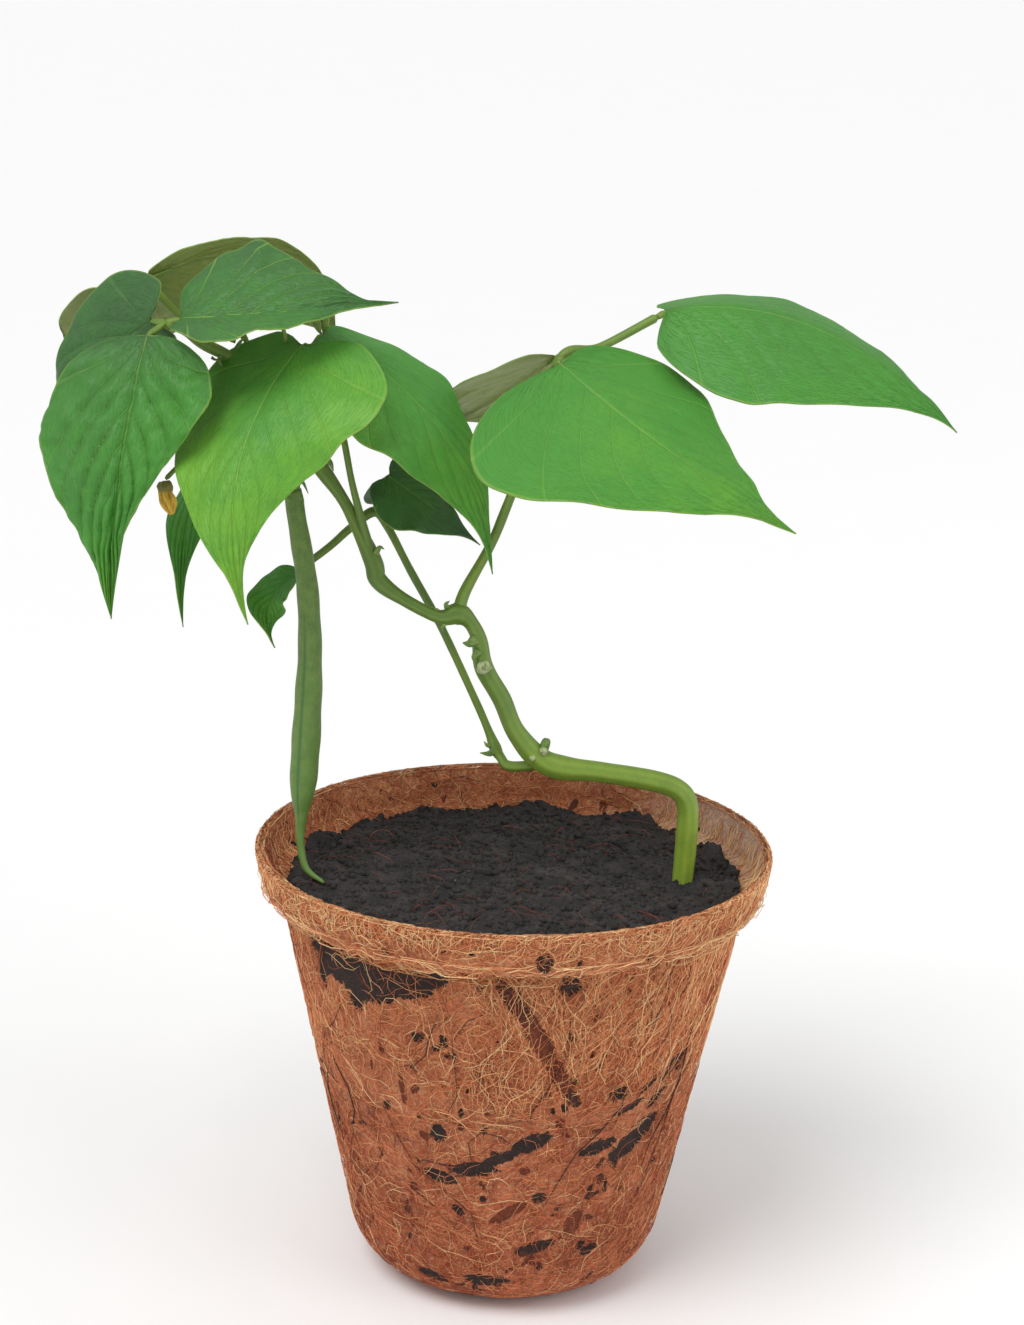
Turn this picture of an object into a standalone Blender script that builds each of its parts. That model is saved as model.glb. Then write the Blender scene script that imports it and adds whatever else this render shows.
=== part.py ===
"""Potted bean plant: a pressed coir pot full of compost, with a young climbing bean rooted at one
side of it. The stem lies over at the rim, then climbs, and carries five leaves of three leaflets,
one hanging pod, a spent flower and young shoots.

Units are metres, +Z is up, and the origin is the middle of the pot's foot, on the ground.
The plant's own points are millimetres from the place where its stem leaves the compost, so the
whole plant follows the pot when the pot's sizes change.
"""

import math

import bmesh
import bpy
import numpy as np
from mathutils import Vector

MM = 0.001
NAME = "potted_bean_plant"

# Clearance left between pieces that touch.
GAP = 0.0003

# Pot: a collar on top of a tapered cup with a rounded foot.
POT_HEIGHT = 0.122
RIM_RADIUS = 0.070
COLLAR_HEIGHT = 0.012
COLLAR_TAPER = 0.0024
COLLAR_STEP = 0.0045
WALL = 0.0030
LIP_WALL = 0.0026
BASE_RADIUS = 0.040
FOOT_ROUNDING = 0.0195
FLOOR_THICKNESS = 0.004
ROUND_STEPS = 48

# Compost: a low dome that fills the pot up to the step inside the collar.
SOIL_BELOW_RIM = 0.0110
SOIL_DOME = 0.0030

# Stem and its root.
STEM_RADIUS = 0.0029
STEM_FROM_WALL = 0.0139
ROOT_DEPTH = 0.030
ROOT_TIP_RADIUS = 0.0010
PETIOLE_RADIUS = 0.0011

# Leaves.
LEAF_THICKNESS = 0.0006
STALK_HALF_WIDTH = 0.0007
LEAF_ROWS = 13
LEAF_COLUMNS = 6

# Pod.
POD_RADIUS = 0.0037
POD_TIP_FROM_WALL = 0.0094


# ---------------------------------------------------------------- sizes that follow from those

BODY_TOP_RADIUS = RIM_RADIUS - COLLAR_TAPER - COLLAR_STEP
COLLAR_FOOT = POT_HEIGHT - COLLAR_HEIGHT
SOIL_EDGE = POT_HEIGHT - SOIL_BELOW_RIM


def wall_radius(z):
    """Outer radius of the tapered cup at height z, before the foot is rounded."""
    return BASE_RADIUS + (BODY_TOP_RADIUS - BASE_RADIUS) * z / COLLAR_FOOT


def soil_radius(z):
    """Inner radius of the cup at height z, less the clearance."""
    return wall_radius(z) - WALL - GAP


def soil_height(radius):
    """Height of the compost's surface: a parabola, highest in the middle."""
    share = radius / soil_radius(SOIL_EDGE)
    return SOIL_EDGE + SOIL_DOME * (1 - share * share)


STEM_X = soil_radius(SOIL_EDGE) - STEM_FROM_WALL
PLANT_FOOT = Vector((STEM_X, 0.0, soil_height(STEM_X)))


# ---------------------------------------------------------------- plain helpers

def clear_scene():
    """Remove every object that the file opened with."""
    for obj in list(bpy.data.objects):
        bpy.data.objects.remove(obj, do_unlink=True)


def new_collection(name):
    """Make a collection and hang it under the scene."""
    collection = bpy.data.collections.new(name)
    bpy.context.scene.collection.children.link(collection)
    return collection


def material(name, colour, roughness):
    """A plain Principled material."""
    made = bpy.data.materials.new(name)
    made.use_nodes = True
    shader = made.node_tree.nodes["Principled BSDF"]
    shader.inputs["Base Color"].default_value = (*colour, 1.0)
    shader.inputs["Roughness"].default_value = roughness
    shader.inputs["Metallic"].default_value = 0.0
    return made


def add_mesh_object(name, mesh, surface, collection):
    """Put a mesh into the collection as a named object with one material."""
    obj = bpy.data.objects.new(name, mesh)
    mesh.materials.append(surface)
    collection.objects.link(obj)
    return obj


def plant_point(x, y, z):
    """A plant point, in millimetres from the foot of the stem, as a place in the world."""
    return PLANT_FOOT + Vector((x, y, z)) * MM


def smooth_path(points, step):
    """Points about `step` apart on the smooth curve through `points` (Catmull-Rom)."""
    knots = [np.array(p, dtype=float) for p in points]
    knots = [2 * knots[0] - knots[1], *knots, 2 * knots[-1] - knots[-2]]
    path = []
    for before, here, there, after in zip(knots, knots[1:], knots[2:], knots[3:]):
        count = max(1, round(np.linalg.norm((there - here)[:3]) / step))
        for t in np.arange(count) / count:
            path.append(0.5 * (2 * here + (there - before) * t
                               + (2 * before - 5 * here + 4 * there - after) * t**2
                               + (3 * here - before - 3 * there + after) * t**3))
    path.append(knots[-2])
    return path


# ---------------------------------------------------------------- turned pieces

def turned(name, profile, surface, collection, steps=ROUND_STEPS):
    """Turn a profile of (radius, height) about Z with a Screw modifier."""
    mesh = bpy.data.meshes.new(name)
    edges = [(i, i + 1) for i in range(len(profile) - 1)]
    mesh.from_pydata([(radius, 0.0, height) for radius, height in profile], edges, [])
    obj = add_mesh_object(name, mesh, surface, collection)
    screw = obj.modifiers.new("turn", "SCREW")
    screw.steps = steps
    screw.render_steps = steps
    screw.use_merge_vertices = True
    screw.merge_threshold = 0.00001
    screw.use_smooth_shade = True
    return obj


def rounded_foot(radius_at, floor, rounding, count=6):
    """Arc, from the sloping wall down to the flat floor, that touches both.

    radius_at gives the wall's radius at a height. The arc's centre is `rounding` above the
    floor and `rounding` inside the wall, measured square to it.
    """
    slope = math.atan2(radius_at(0.1) - radius_at(0.0), 0.1)
    centre_z = floor + rounding
    centre_x = radius_at(centre_z) - rounding / math.cos(slope)
    first, last = -slope, -math.pi / 2
    angles = [first + (last - first) * i / count for i in range(count + 1)]
    return [(centre_x + rounding * math.cos(a), centre_z + rounding * math.sin(a)) for a in angles]


def coir_pot(surface, collection):
    """Pressed coir pot: one wall that steps outward at the collar, so it has a ledge inside."""
    wall_top = (wall_radius(COLLAR_FOOT) - WALL, COLLAR_FOOT)
    inner_rounding = FOOT_ROUNDING - WALL
    inner_foot = rounded_foot(lambda z: wall_radius(z) - WALL, FLOOR_THICKNESS, inner_rounding)
    inside = [(0.0, FLOOR_THICKNESS), *reversed(inner_foot), wall_top]
    lip_inner = RIM_RADIUS - LIP_WALL
    ledge_height = COLLAR_FOOT + WALL
    ledge_outer = lip_inner - COLLAR_TAPER
    collar = [
        (ledge_outer, ledge_height),
        (lip_inner, POT_HEIGHT - 0.0008),
        (lip_inner + 0.0008, POT_HEIGHT),
        (RIM_RADIUS - 0.0008, POT_HEIGHT),
        (RIM_RADIUS, POT_HEIGHT - 0.0008),
        (RIM_RADIUS - COLLAR_TAPER, COLLAR_FOOT + 0.0008),
        (RIM_RADIUS - COLLAR_TAPER - 0.0008, COLLAR_FOOT),
        (BODY_TOP_RADIUS, COLLAR_FOOT - 0.0008),
    ]
    outer_foot = rounded_foot(wall_radius, 0.0, FOOT_ROUNDING)
    profile = [*inside, *collar, *outer_foot, (0.0, 0.0)]
    return turned("coir_pot", profile, surface, collection)


def potting_soil(surface, collection, cutters):
    """Compost: fills the cup, with a socket for the root."""
    rounding = FOOT_ROUNDING - WALL - GAP
    foot = rounded_foot(soil_radius, FLOOR_THICKNESS + GAP, rounding)
    edge = soil_radius(SOIL_EDGE)
    top = min(SOIL_EDGE, COLLAR_FOOT)
    shoulder = [(soil_radius(top), top)]
    dome = [(edge * share, soil_height(edge * share)) for share in (0.0, 0.3, 0.6, 0.85, 1.0)]
    profile = [*dome, *shoulder, *foot, (0.0, FLOOR_THICKNESS + GAP)]
    soil = turned("potting_soil", profile, surface, collection, steps=32)

    socket_margin = 2 * GAP
    depth = ROOT_DEPTH + 2 * socket_margin
    above = 0.01
    bpy.ops.mesh.primitive_cone_add(
        vertices=20,
        radius1=ROOT_TIP_RADIUS + socket_margin,
        radius2=STEM_RADIUS * 1.15 + socket_margin,
        depth=depth,
        location=PLANT_FOOT + Vector((0, 0, -depth / 2 + socket_margin)),
    )
    root_cutter = bpy.context.object
    bpy.ops.mesh.primitive_cylinder_add(
        vertices=20,
        radius=STEM_RADIUS * 1.15 + socket_margin,
        depth=above + 2 * socket_margin,
        location=PLANT_FOOT + Vector((0, 0, above / 2)),
    )
    mouth_cutter = bpy.context.object
    for label, cutter in (("socket", root_cutter), ("mouth", mouth_cutter)):
        cutter.name = f"{label}_cutter"
        for home in list(cutter.users_collection):
            home.objects.unlink(cutter)
        cutters.objects.link(cutter)
        cutter.hide_render = True
        cutter.display_type = "WIRE"
        cut = soil.modifiers.new(label, "BOOLEAN")
        cut.operation = "DIFFERENCE"
        cut.object = cutter
    return soil


# ---------------------------------------------------------------- stems

def tube(name, path, surface, collection, sides_level=2):
    """A stem: a POLY spline with a round bevel; each path row is x, y, z and a radius."""
    curve = bpy.data.curves.new(name, "CURVE")
    curve.dimensions = "3D"
    curve.bevel_depth = 1.0
    curve.bevel_resolution = sides_level
    curve.use_fill_caps = True
    spline = curve.splines.new("POLY")
    spline.points.add(len(path) - 1)
    for point, row in zip(spline.points, path):
        point.co = (row[0], row[1], row[2], 1.0)
        point.radius = row[3]
    spline.use_smooth = True
    obj = bpy.data.objects.new(name, curve)
    curve.materials.append(surface)
    collection.objects.link(obj)
    return obj


def stem_rows(points, radius):
    """Plant points (x, y, z, relative thickness) as world rows with a radius in metres."""
    return [(*plant_point(x, y, z), radius * thickness) for x, y, z, thickness in points]


# Way of the main stem from the compost to its top: x, y, z, thickness over STEM_RADIUS.
MAIN_STEM = (
    (0.0, 0.0, 0.0, 1.0),
    (0.5, 0.0, 11.0, 0.98),
    (0.4, 0.0, 21.5, 1.02),
    (-2.6, 0.0, 26.0, 1.08),
    (-9.5, 0.0, 28.3, 1.12),
    (-23.0, -1.0, 30.6, 1.14),
    (-37.5, 0.0, 32.2, 1.25),
    (-46.0, 1.0, 40.0, 1.05),
    (-50.5, 2.0, 49.5, 0.92),
    (-55.4, 2.0, 58.0, 0.90),
    (-56.8, 2.0, 65.5, 0.76),
    (-59.3, 2.0, 70.5, 0.70),
    (-62.6, 1.0, 73.0, 0.90),
    (-67.5, 0.0, 72.3, 0.66),
    (-76.5, 0.0, 76.5, 0.60),
    (-83.8, 1.0, 81.5, 0.80),
    (-85.6, 2.0, 87.0, 0.84),
    (-92.7, 3.0, 101.3, 0.55),
    (-100.2, 4.0, 111.8, 0.74),
    (-110.0, 5.0, 125.5, 0.52),
    (-120.0, 6.0, 137.8, 0.50),
)

# Leaf stalks: the knot of the main stem that each one leaves, then its own way in the same
# form, with thickness over PETIOLE_RADIUS.
PETIOLES = {
    "lower_petiole": (6, (
        (-47.6, 4.5, 29.8, 1.35),
        (-50.4, 7.0, 31.5, 1.2),
        (-51.9, 8.0, 33.8, 1.5),
        (-53.9, 9.0, 38.4, 1.0),
        (-57.6, 10.0, 46.5, 0.95),
        (-67.5, 11.0, 67.0, 0.95),
        (-75.9, 12.0, 81.8, 0.95),
        (-82.0, 13.0, 93.0, 1.0),
        (-85.8, 14.0, 97.2, 1.3),
        (-92.3, 15.0, 92.2, 1.0),
        (-97.6, 15.5, 87.1, 0.95),
        (-104.2, 16.0, 81.6, 0.9),
    )),
    "right_petiole": (12, (
        (-60.8, 3.0, 79.0, 1.5),
        (-54.5, 4.0, 91.2, 1.15),
        (-50.8, 5.0, 100.6, 1.15),
        (-42.3, 3.0, 125.4, 1.15),
        (-37.1, 1.0, 142.5, 1.3),
        (-27.3, 6.0, 144.5, 1.0),
        (-12.6, 10.0, 152.1, 1.1),
    )),
    "centre_petiole": (16, (
        (-90.7, 0.0, 106.6, 0.85),
        (-93.8, 0.0, 121.5, 0.8),
        (-98.6, 1.0, 135.8, 0.8),
        (-102.5, 0.0, 142.6, 1.0),
    )),
    "left_petiole": (20, (
        (-129.4, 1.0, 143.0, 1.3),
        (-134.1, -2.0, 147.3, 1.3),
        (-139.0, -4.0, 149.5, 1.4),
    )),
    "top_petiole": (20, (
        (-126.2, 12.0, 139.9, 0.9),
        (-130.9, 14.0, 142.1, 0.85),
        (-138.3, 17.0, 148.3, 0.85),
        (-145.6, 17.0, 155.2, 1.1),
        (-152.0, 18.0, 156.9, 0.8),
        (-156.5, 20.0, 154.9, 0.9),
    )),
}

# Side shoots and stalks, in the same form.
SHOOTS = {
    "growing_tip": (20, (
        (-119.2, 6.6, 142.8, 0.6),
        (-120.9, 6.2, 146.0, 0.9),
        (-122.0, 6.0, 149.4, 0.25),
    )),
    "side_shoot": (18, (
        (-99.0, 7.5, 124.0, 0.6),
        (-98.6, 8.0, 138.0, 0.6),
        (-98.8, 7.5, 145.5, 0.7),
        (-99.2, 7.0, 152.0, 1.4),
    )),
    "bud_stalk": (19, (
        (-108.4, 2.0, 131.0, 0.5),
        (-108.2, 0.0, 138.0, 0.5),
        (-108.8, -0.5, 146.8, 0.5),
        (-110.6, 0.0, 150.8, 0.5),
        (-112.5, 0.5, 154.0, 1.3),
        (-113.4, 0.5, 155.6, 0.4),
    )),
    "flower_stalk": (19, (
        (-115.0, -1.0, 123.5, 0.5),
        (-125.0, -5.5, 119.5, 0.5),
        (-134.0, -7.0, 114.0, 0.5),
        (-138.9, -7.0, 109.2, 0.6),
    )),
    "pod_stalk": (18, (
        (-104.6, 3.6, 112.6, 0.8),
        (-107.2, 2.6, 109.6, 0.9),
        (-106.9, 2.1, 106.4, 1.7),
    )),
}

# The pod hangs from its stalk; the last point is its tip, which rests on the compost.
# Thickness is over POD_RADIUS.
POD = (
    (-106.7, 2.0, 105.2, 0.62),
    (-105.6, 1.5, 98.0, 0.68),
    (-104.5, 1.0, 91.9, 0.72),
    (-102.5, 0.0, 79.4, 0.78),
    (-101.6, -1.0, 63.8, 0.86),
    (-101.9, -2.0, 47.7, 1.0),
    (-102.6, -3.0, 31.8, 1.04),
    (-103.0, -4.5, 23.5, 0.86),
    (-103.2, -5.5, 17.5, 0.46),
    (-103.3, -7.0, 10.5, 0.3),
    (-101.5, -9.5, 4.0, 0.25),
    (-96.5, -12.0, 0.6, 0.12),
)

FLOWER = (
    (-139.2, -7.0, 107.9, 1.3),
    (-138.9, -7.2, 105.4, 1.5),
    (-138.0, -7.4, 102.4, 1.2),
    (-137.2, -7.5, 100.0, 0.5),
)


# ---------------------------------------------------------------- leaves

# Each leaflet: the stalk it grows from, and the knot of that stalk (-1 is its end). Then plant
# points for where the blade starts, the middle of its midrib and its tip; the half-widths to the
# left and right of the midrib, looking from the stalk to the tip; `roll`, the turn of the blade
# about its midrib from as level as it can be (positive lifts the left side); `twist`, how much
# that turn grows by the tip; and `fold`, how far the two halves stand up above the midrib.
LEAVES = {
    "right_leaf_end": dict(
        stalk="right_petiole", knot=-1,
        base=(-10.5, 11.0, 153.6), middle=(28.2, 5.0, 151.2), tip=(65.5, -3.0, 126.2),
        left=22, right=26, roll=25, twist=0, fold=-25, widest=0.40, taper=(2.0, 1.5), lobe=3),
    "right_leaf_front": dict(
        stalk="right_petiole", knot=4,
        base=(-37.7, -7.0, 142.3), middle=(-10.0, -26.0, 124.3), tip=(21.7, -40.0, 106.9),
        left=29, right=35, roll=20, twist=0, fold=-8, widest=0.28, taper=(1.6, 1.7), lobe=5),
    "right_leaf_back": dict(
        stalk="right_petiole", knot=4,
        base=(-38.6, 11.0, 141.0), middle=(-54.5, 35.0, 124.9), tip=(-72.7, 55.0, 111.6),
        left=24, right=26, roll=0, twist=0, fold=-10, widest=0.32, taper=(1.5, 2.0), lobe=2),
    "centre_leaf_front": dict(
        stalk="centre_petiole", knot=-1,
        base=(-103.6, -6.0, 145.0), middle=(-118.0, -30.0, 116.1), tip=(-114.3, -40.0, 79.7),
        left=34, right=27, roll=0, twist=0, fold=-10, widest=0.28, taper=(1.4, 2.3), lobe=5, skew=7),
    "centre_leaf_right": dict(
        stalk="centre_petiole", knot=3,
        base=(-99.1, 3.0, 146.3), middle=(-67.9, -8.0, 124.0), tip=(-53.6, -14.0, 87.9),
        left=16, right=22, roll=20, twist=0, fold=-10, widest=0.35, taper=(1.6, 1.8), lobe=2),
    "centre_leaf_left": dict(
        stalk="centre_petiole", knot=3,
        base=(-109.6, 14.0, 140.9), middle=(-135.3, 34.0, 99.5), tip=(-137.5, 16.0, 63.2),
        left=14, right=16, roll=-20, twist=0, fold=-10, widest=0.32, taper=(1.4, 2.0), lobe=2),
    "left_leaf_front": dict(
        stalk="left_petiole", knot=-1,
        base=(-143.2, -8.0, 146.6), middle=(-148.7, -24.0, 113.9), tip=(-150.1, -30.0, 77.5),
        left=20, right=22, roll=0, twist=0, fold=-5, widest=0.30, taper=(1.4, 2.1), lobe=1),
    "left_leaf_top": dict(
        stalk="left_petiole", knot=2,
        base=(-135.2, -4.0, 150.7), middle=(-110.5, -8.0, 153.8), tip=(-79.0, -12.0, 157.5),
        left=25, right=20, roll=24, twist=0, fold=15, widest=0.38, taper=(1.6, 2.0), lobe=2),
    "left_leaf_inner": dict(
        stalk="left_petiole", knot=-1,
        base=(-143.5, 2.0, 148.6), middle=(-162.6, 8.0, 129.7), tip=(-168.6, 10.0, 104.4),
        left=16, right=16, roll=-66, twist=0, fold=-5, widest=0.25, taper=(1.6, 1.6), lobe=5),
    "top_leaf_back": dict(
        stalk="top_petiole", knot=3,
        base=(-145.7, 19.0, 157.9), middle=(-115.5, 32.0, 161.5), tip=(-98.5, 44.0, 138.7),
        left=22, right=10, roll=-54, twist=0, fold=-10, widest=0.4, taper=(2.4, 1.2), lobe=2),
    "top_leaf_side": dict(
        stalk="top_petiole", knot=3,
        base=(-146.7, 22.0, 153.9), middle=(-156.5, 38.0, 136.4), tip=(-162.9, 44.0, 114.4),
        left=12, right=14, roll=0, twist=0, fold=-8, widest=0.35, taper=(1.5, 2.0), lobe=1),
    "top_leaf_far": dict(
        stalk="top_petiole", knot=-1,
        base=(-158.2, 21.0, 153.9), middle=(-163.0, 48.0, 132.0), tip=(-165.6, 57.0, 107.0),
        left=11, right=10, roll=0, twist=0, fold=-8, widest=0.35, taper=(1.6, 1.8), lobe=2),
    "lower_leaf_right": dict(
        stalk="lower_petiole", knot=8,
        base=(-82.1, 9.0, 108.0), middle=(-71.3, 8.0, 100.8), tip=(-57.4, 12.0, 89.3),
        left=13, right=12, roll=40, twist=0, fold=-8, widest=0.34, taper=(1.6, 1.7), lobe=3),
    "lower_leaf_end": dict(
        stalk="lower_petiole", knot=-1,
        base=(-106.3, 16.0, 78.9), middle=(-114.2, 14.0, 70.3), tip=(-112.0, 10.0, 59.7),
        left=8, right=8, roll=-15, twist=0, fold=10, widest=0.35, taper=(1.5, 2.0), lobe=1),
    "lower_leaf_back": dict(
        stalk="lower_petiole", knot=8,
        base=(-84.0, 21.0, 97.6), middle=(-66.2, 38.0, 103.0), tip=(-46.3, 50.0, 94.0),
        left=16, right=16, roll=0, twist=0, fold=-8, widest=0.35, taper=(1.5, 2.0), lobe=2),
}


def outside(points, rows):
    """How far each point lies outside a stem given as rows of x, y, z and radius."""
    axis = np.array([row[:3] for row in rows])
    radii = np.array([row[3] for row in rows])
    spans = axis[1:] - axis[:-1]
    reach = points[:, None, :] - axis[None, :-1, :]
    share = np.clip((reach * spans).sum(2) / (spans * spans).sum(1), 0.0, 1.0)
    nearest = axis[:-1] + share[..., None] * spans
    thickness = radii[:-1] + share * (radii[1:] - radii[:-1])
    return (np.linalg.norm(points[:, None, :] - nearest, axis=2) - thickness).min(axis=1)


def clear_start(origin, towards, radius, rows):
    """First place on the line from `origin` to `towards` where a stalk's end clears a stem."""
    heading = (towards - origin).normalized()
    side = heading.orthogonal().normalized()
    other = heading.cross(side)
    angles = np.linspace(0.0, 2 * math.pi, 12, endpoint=False)
    rim = np.array([radius * (math.cos(a) * side + math.sin(a) * other) for a in angles])
    rim = np.vstack([rim, rim * 0.0])
    step = 0.00005
    for distance in np.arange(0.0, (towards - origin).length, step):
        start = origin + heading * distance
        if outside(rim + np.array(start), rows).min() > GAP:
            return start
    return towards - heading * step


def half_width(v, widest, taper):
    """Outline of a leaflet: round up to its widest place, then drawn out to a fine tip."""
    rounded = np.sin(math.pi / 2 * np.sqrt(np.clip(v / widest, 0.0, 1.0)))
    rest = np.clip((v - widest) / (1 - widest), 0.0, 1.0)
    first, second = taper
    return np.where(v < widest, rounded, (1 - rest**first) ** second)


def leaf_blade(start, shape):
    """Rows of points over a leaflet: first its own short stalk, then the blade.

    The midrib is a quadratic curve through base, middle and tip. Each row runs across it, square
    to it, and its two halves are turned up by the fold.
    """
    base, middle, tip = (np.array(plant_point(*shape[k])) for k in ("base", "middle", "tip"))
    bend = 2 * middle - (base + tip) / 2
    v = np.linspace(0.0, 1.0, LEAF_ROWS) ** 1.3
    t = v[:, None]
    midrib = (1 - t) ** 2 * base + 2 * t * (1 - t) * bend + t**2 * tip
    along = 2 * (1 - t) * (bend - base) + 2 * t * (tip - bend)
    along /= np.linalg.norm(along, axis=1, keepdims=True)
    face = np.array((0.0, 0.0, 1.0)) - along * along[:, 2:3]
    face /= np.linalg.norm(face, axis=1, keepdims=True)
    left = np.cross(face, along)
    turn = np.radians(shape["roll"] + shape["twist"] * t)
    left, face = (np.cos(turn) * left + np.sin(turn) * face,
                  np.cos(turn) * face - np.sin(turn) * left)

    u = np.linspace(-1.0, 1.0, LEAF_COLUMNS + 1)[None, :, None]
    fold = math.radians(shape["fold"])
    side_width = np.where(u > 0, shape["left"], shape["right"]) * MM
    width = half_width(v, shape["widest"], shape["taper"])[:, None, None] * side_width
    width = np.maximum(width, STALK_HALF_WIDTH)
    lobe = shape["lobe"] * MM * np.clip(1 - v / 0.35, 0.0, 1.0)[:, None, None] ** 2
    skew = shape.get("skew", 0.0) * MM
    folded = np.where(width > 2 * STALK_HALF_WIDTH, fold, 0.0)
    blade = (midrib[:, None, :]
             + left[:, None, :] * u * width * np.cos(folded)
             + face[:, None, :] * abs(u) * width * np.sin(folded)
             - along[:, None, :] * lobe * u**2 * (v > 0)[:, None, None]
             - along[:, None, :] * skew * u * np.sin(math.pi * v)[:, None, None])
    stalk = np.array(start) + (left[0] * STALK_HALF_WIDTH)[None, :] * u[0]
    return np.vstack([stalk[None], blade])


def add_leaf(name, shape, stems, surface, collection):
    """A leaflet: the blade's grid, given its thickness by Solidify."""
    rows = stems[shape["stalk"]]
    joint = Vector(rows["knots"][shape["knot"]][:3])
    base = plant_point(*shape["base"])
    start = clear_start(joint, base, STALK_HALF_WIDTH + LEAF_THICKNESS / 2, rows["path"])
    points = leaf_blade(start, shape)
    count_v, count_u = points.shape[:2]
    grid = bmesh.new()
    bmesh.ops.create_grid(grid, x_segments=count_u - 1, y_segments=count_v - 1, size=1.0)
    for vertex in grid.verts:
        column = round((vertex.co.x + 1) / 2 * (count_u - 1))
        row = round((vertex.co.y + 1) / 2 * (count_v - 1))
        vertex.co = points[row, column]
    bmesh.ops.reverse_faces(grid, faces=grid.faces)
    mesh = bpy.data.meshes.new(name)
    grid.to_mesh(mesh)
    grid.free()
    obj = add_mesh_object(name, mesh, surface, collection)
    mesh.shade_smooth()
    solid = obj.modifiers.new("thickness", "SOLIDIFY")
    solid.thickness = LEAF_THICKNESS
    solid.offset = 0.0
    return obj


# ---------------------------------------------------------------- the plant

def add_stem(name, knots, surface, collection, step=0.005, sides_level=2):
    """A stem through its knots, as a smooth tube; returns its knots and its path."""
    path = smooth_path(knots, step)
    tube(name, path, surface, collection, sides_level)
    return {"knots": knots, "path": path}


def root_rows():
    """The tap root, straight down from the foot of the stem."""
    foot = np.array(PLANT_FOOT)
    return [
        (*(foot - (0.0, 0.0, depth * ROOT_DEPTH)), ROOT_TIP_RADIUS * depth + STEM_RADIUS * (1 - depth))
        for depth in (1.0, 0.66, 0.33)
    ]


def pod_rows():
    """The pod's way. Its lower part follows the pot's far wall, and its tip lies on the compost."""
    rows = stem_rows(POD, POD_RADIUS)
    tip_x, tip_y, _, tip_radius = rows[-1]
    rest_x = -(soil_radius(SOIL_EDGE) - POD_TIP_FROM_WALL)
    shift = rest_x - tip_x
    top, rim = rows[0][2], POT_HEIGHT
    placed = []
    for x, y, z, radius in rows:
        share = min(1.0, (top - z) / (top - rim))
        placed.append([x + shift * share, y, z, radius])
    placed[-1][2] = soil_height(math.hypot(rest_x, tip_y)) + tip_radius + 2 * GAP
    return placed


def add_branch(name, parent, knot, points, radius, surface, collection, step=0.006):
    """A stalk that leaves a knot of its parent stem, just clear of it."""
    own = stem_rows(points, radius)
    origin = Vector(parent["knots"][knot][:3])
    start = clear_start(origin, Vector(own[0][:3]), own[0][3], parent["path"])
    knots = [(*start, own[0][3]), *own]
    return add_stem(name, knots, surface, collection, step)


def build():
    """Build every piece."""
    clear_scene()
    parts = new_collection(NAME)
    cutters = new_collection("cutters")

    coir = material("coir", (0.45, 0.20, 0.10), 0.95)
    compost = material("compost", (0.03, 0.018, 0.014), 1.0)
    green_stem = material("green_stem", (0.16, 0.27, 0.05), 0.5)
    leaf_green = material("leaf_green", (0.10, 0.32, 0.04), 0.45)
    pod_green = material("pod_green", (0.11, 0.22, 0.05), 0.5)
    petal_yellow = material("petal_yellow", (0.65, 0.42, 0.05), 0.7)

    coir_pot(coir, parts)
    potting_soil(compost, parts, cutters)

    foot = root_rows()
    knots = [*foot, *stem_rows(MAIN_STEM, STEM_RADIUS)]
    stem = add_stem("main_stem", knots, green_stem, parts, step=0.005, sides_level=3)
    stem["knots"] = knots[len(foot):]

    stems = {"main_stem": stem}
    for name, (knot, points) in PETIOLES.items():
        stems[name] = add_branch(name, stem, knot, points, PETIOLE_RADIUS, green_stem, parts)
        stems[name]["knots"] = stems[name]["knots"][1:]
    for name, (knot, points) in SHOOTS.items():
        stems[name] = add_branch(name, stem, knot, points, PETIOLE_RADIUS, green_stem, parts, 0.004)

    add_stem("bean_pod", pod_rows(), pod_green, parts, step=0.005, sides_level=3)
    add_stem("withered_flower", stem_rows(FLOWER, PETIOLE_RADIUS), petal_yellow, parts, 0.002)

    for name, shape in LEAVES.items():
        add_leaf(name, shape, stems, leaf_green, parts)


build()
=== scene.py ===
# %% [markdown]
# # A bean plant in a coir pot
#
# This notebook dresses a plain working model of a potted bean plant. The working model has the
# right sizes and places, and this file gives each piece its real surface: a pot of pressed
# coconut fibre, dark crumbly compost, ribbed stems, veined leaves and one long pod.
#
# The first cell loads the working model. Nothing in it is ever moved.

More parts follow.
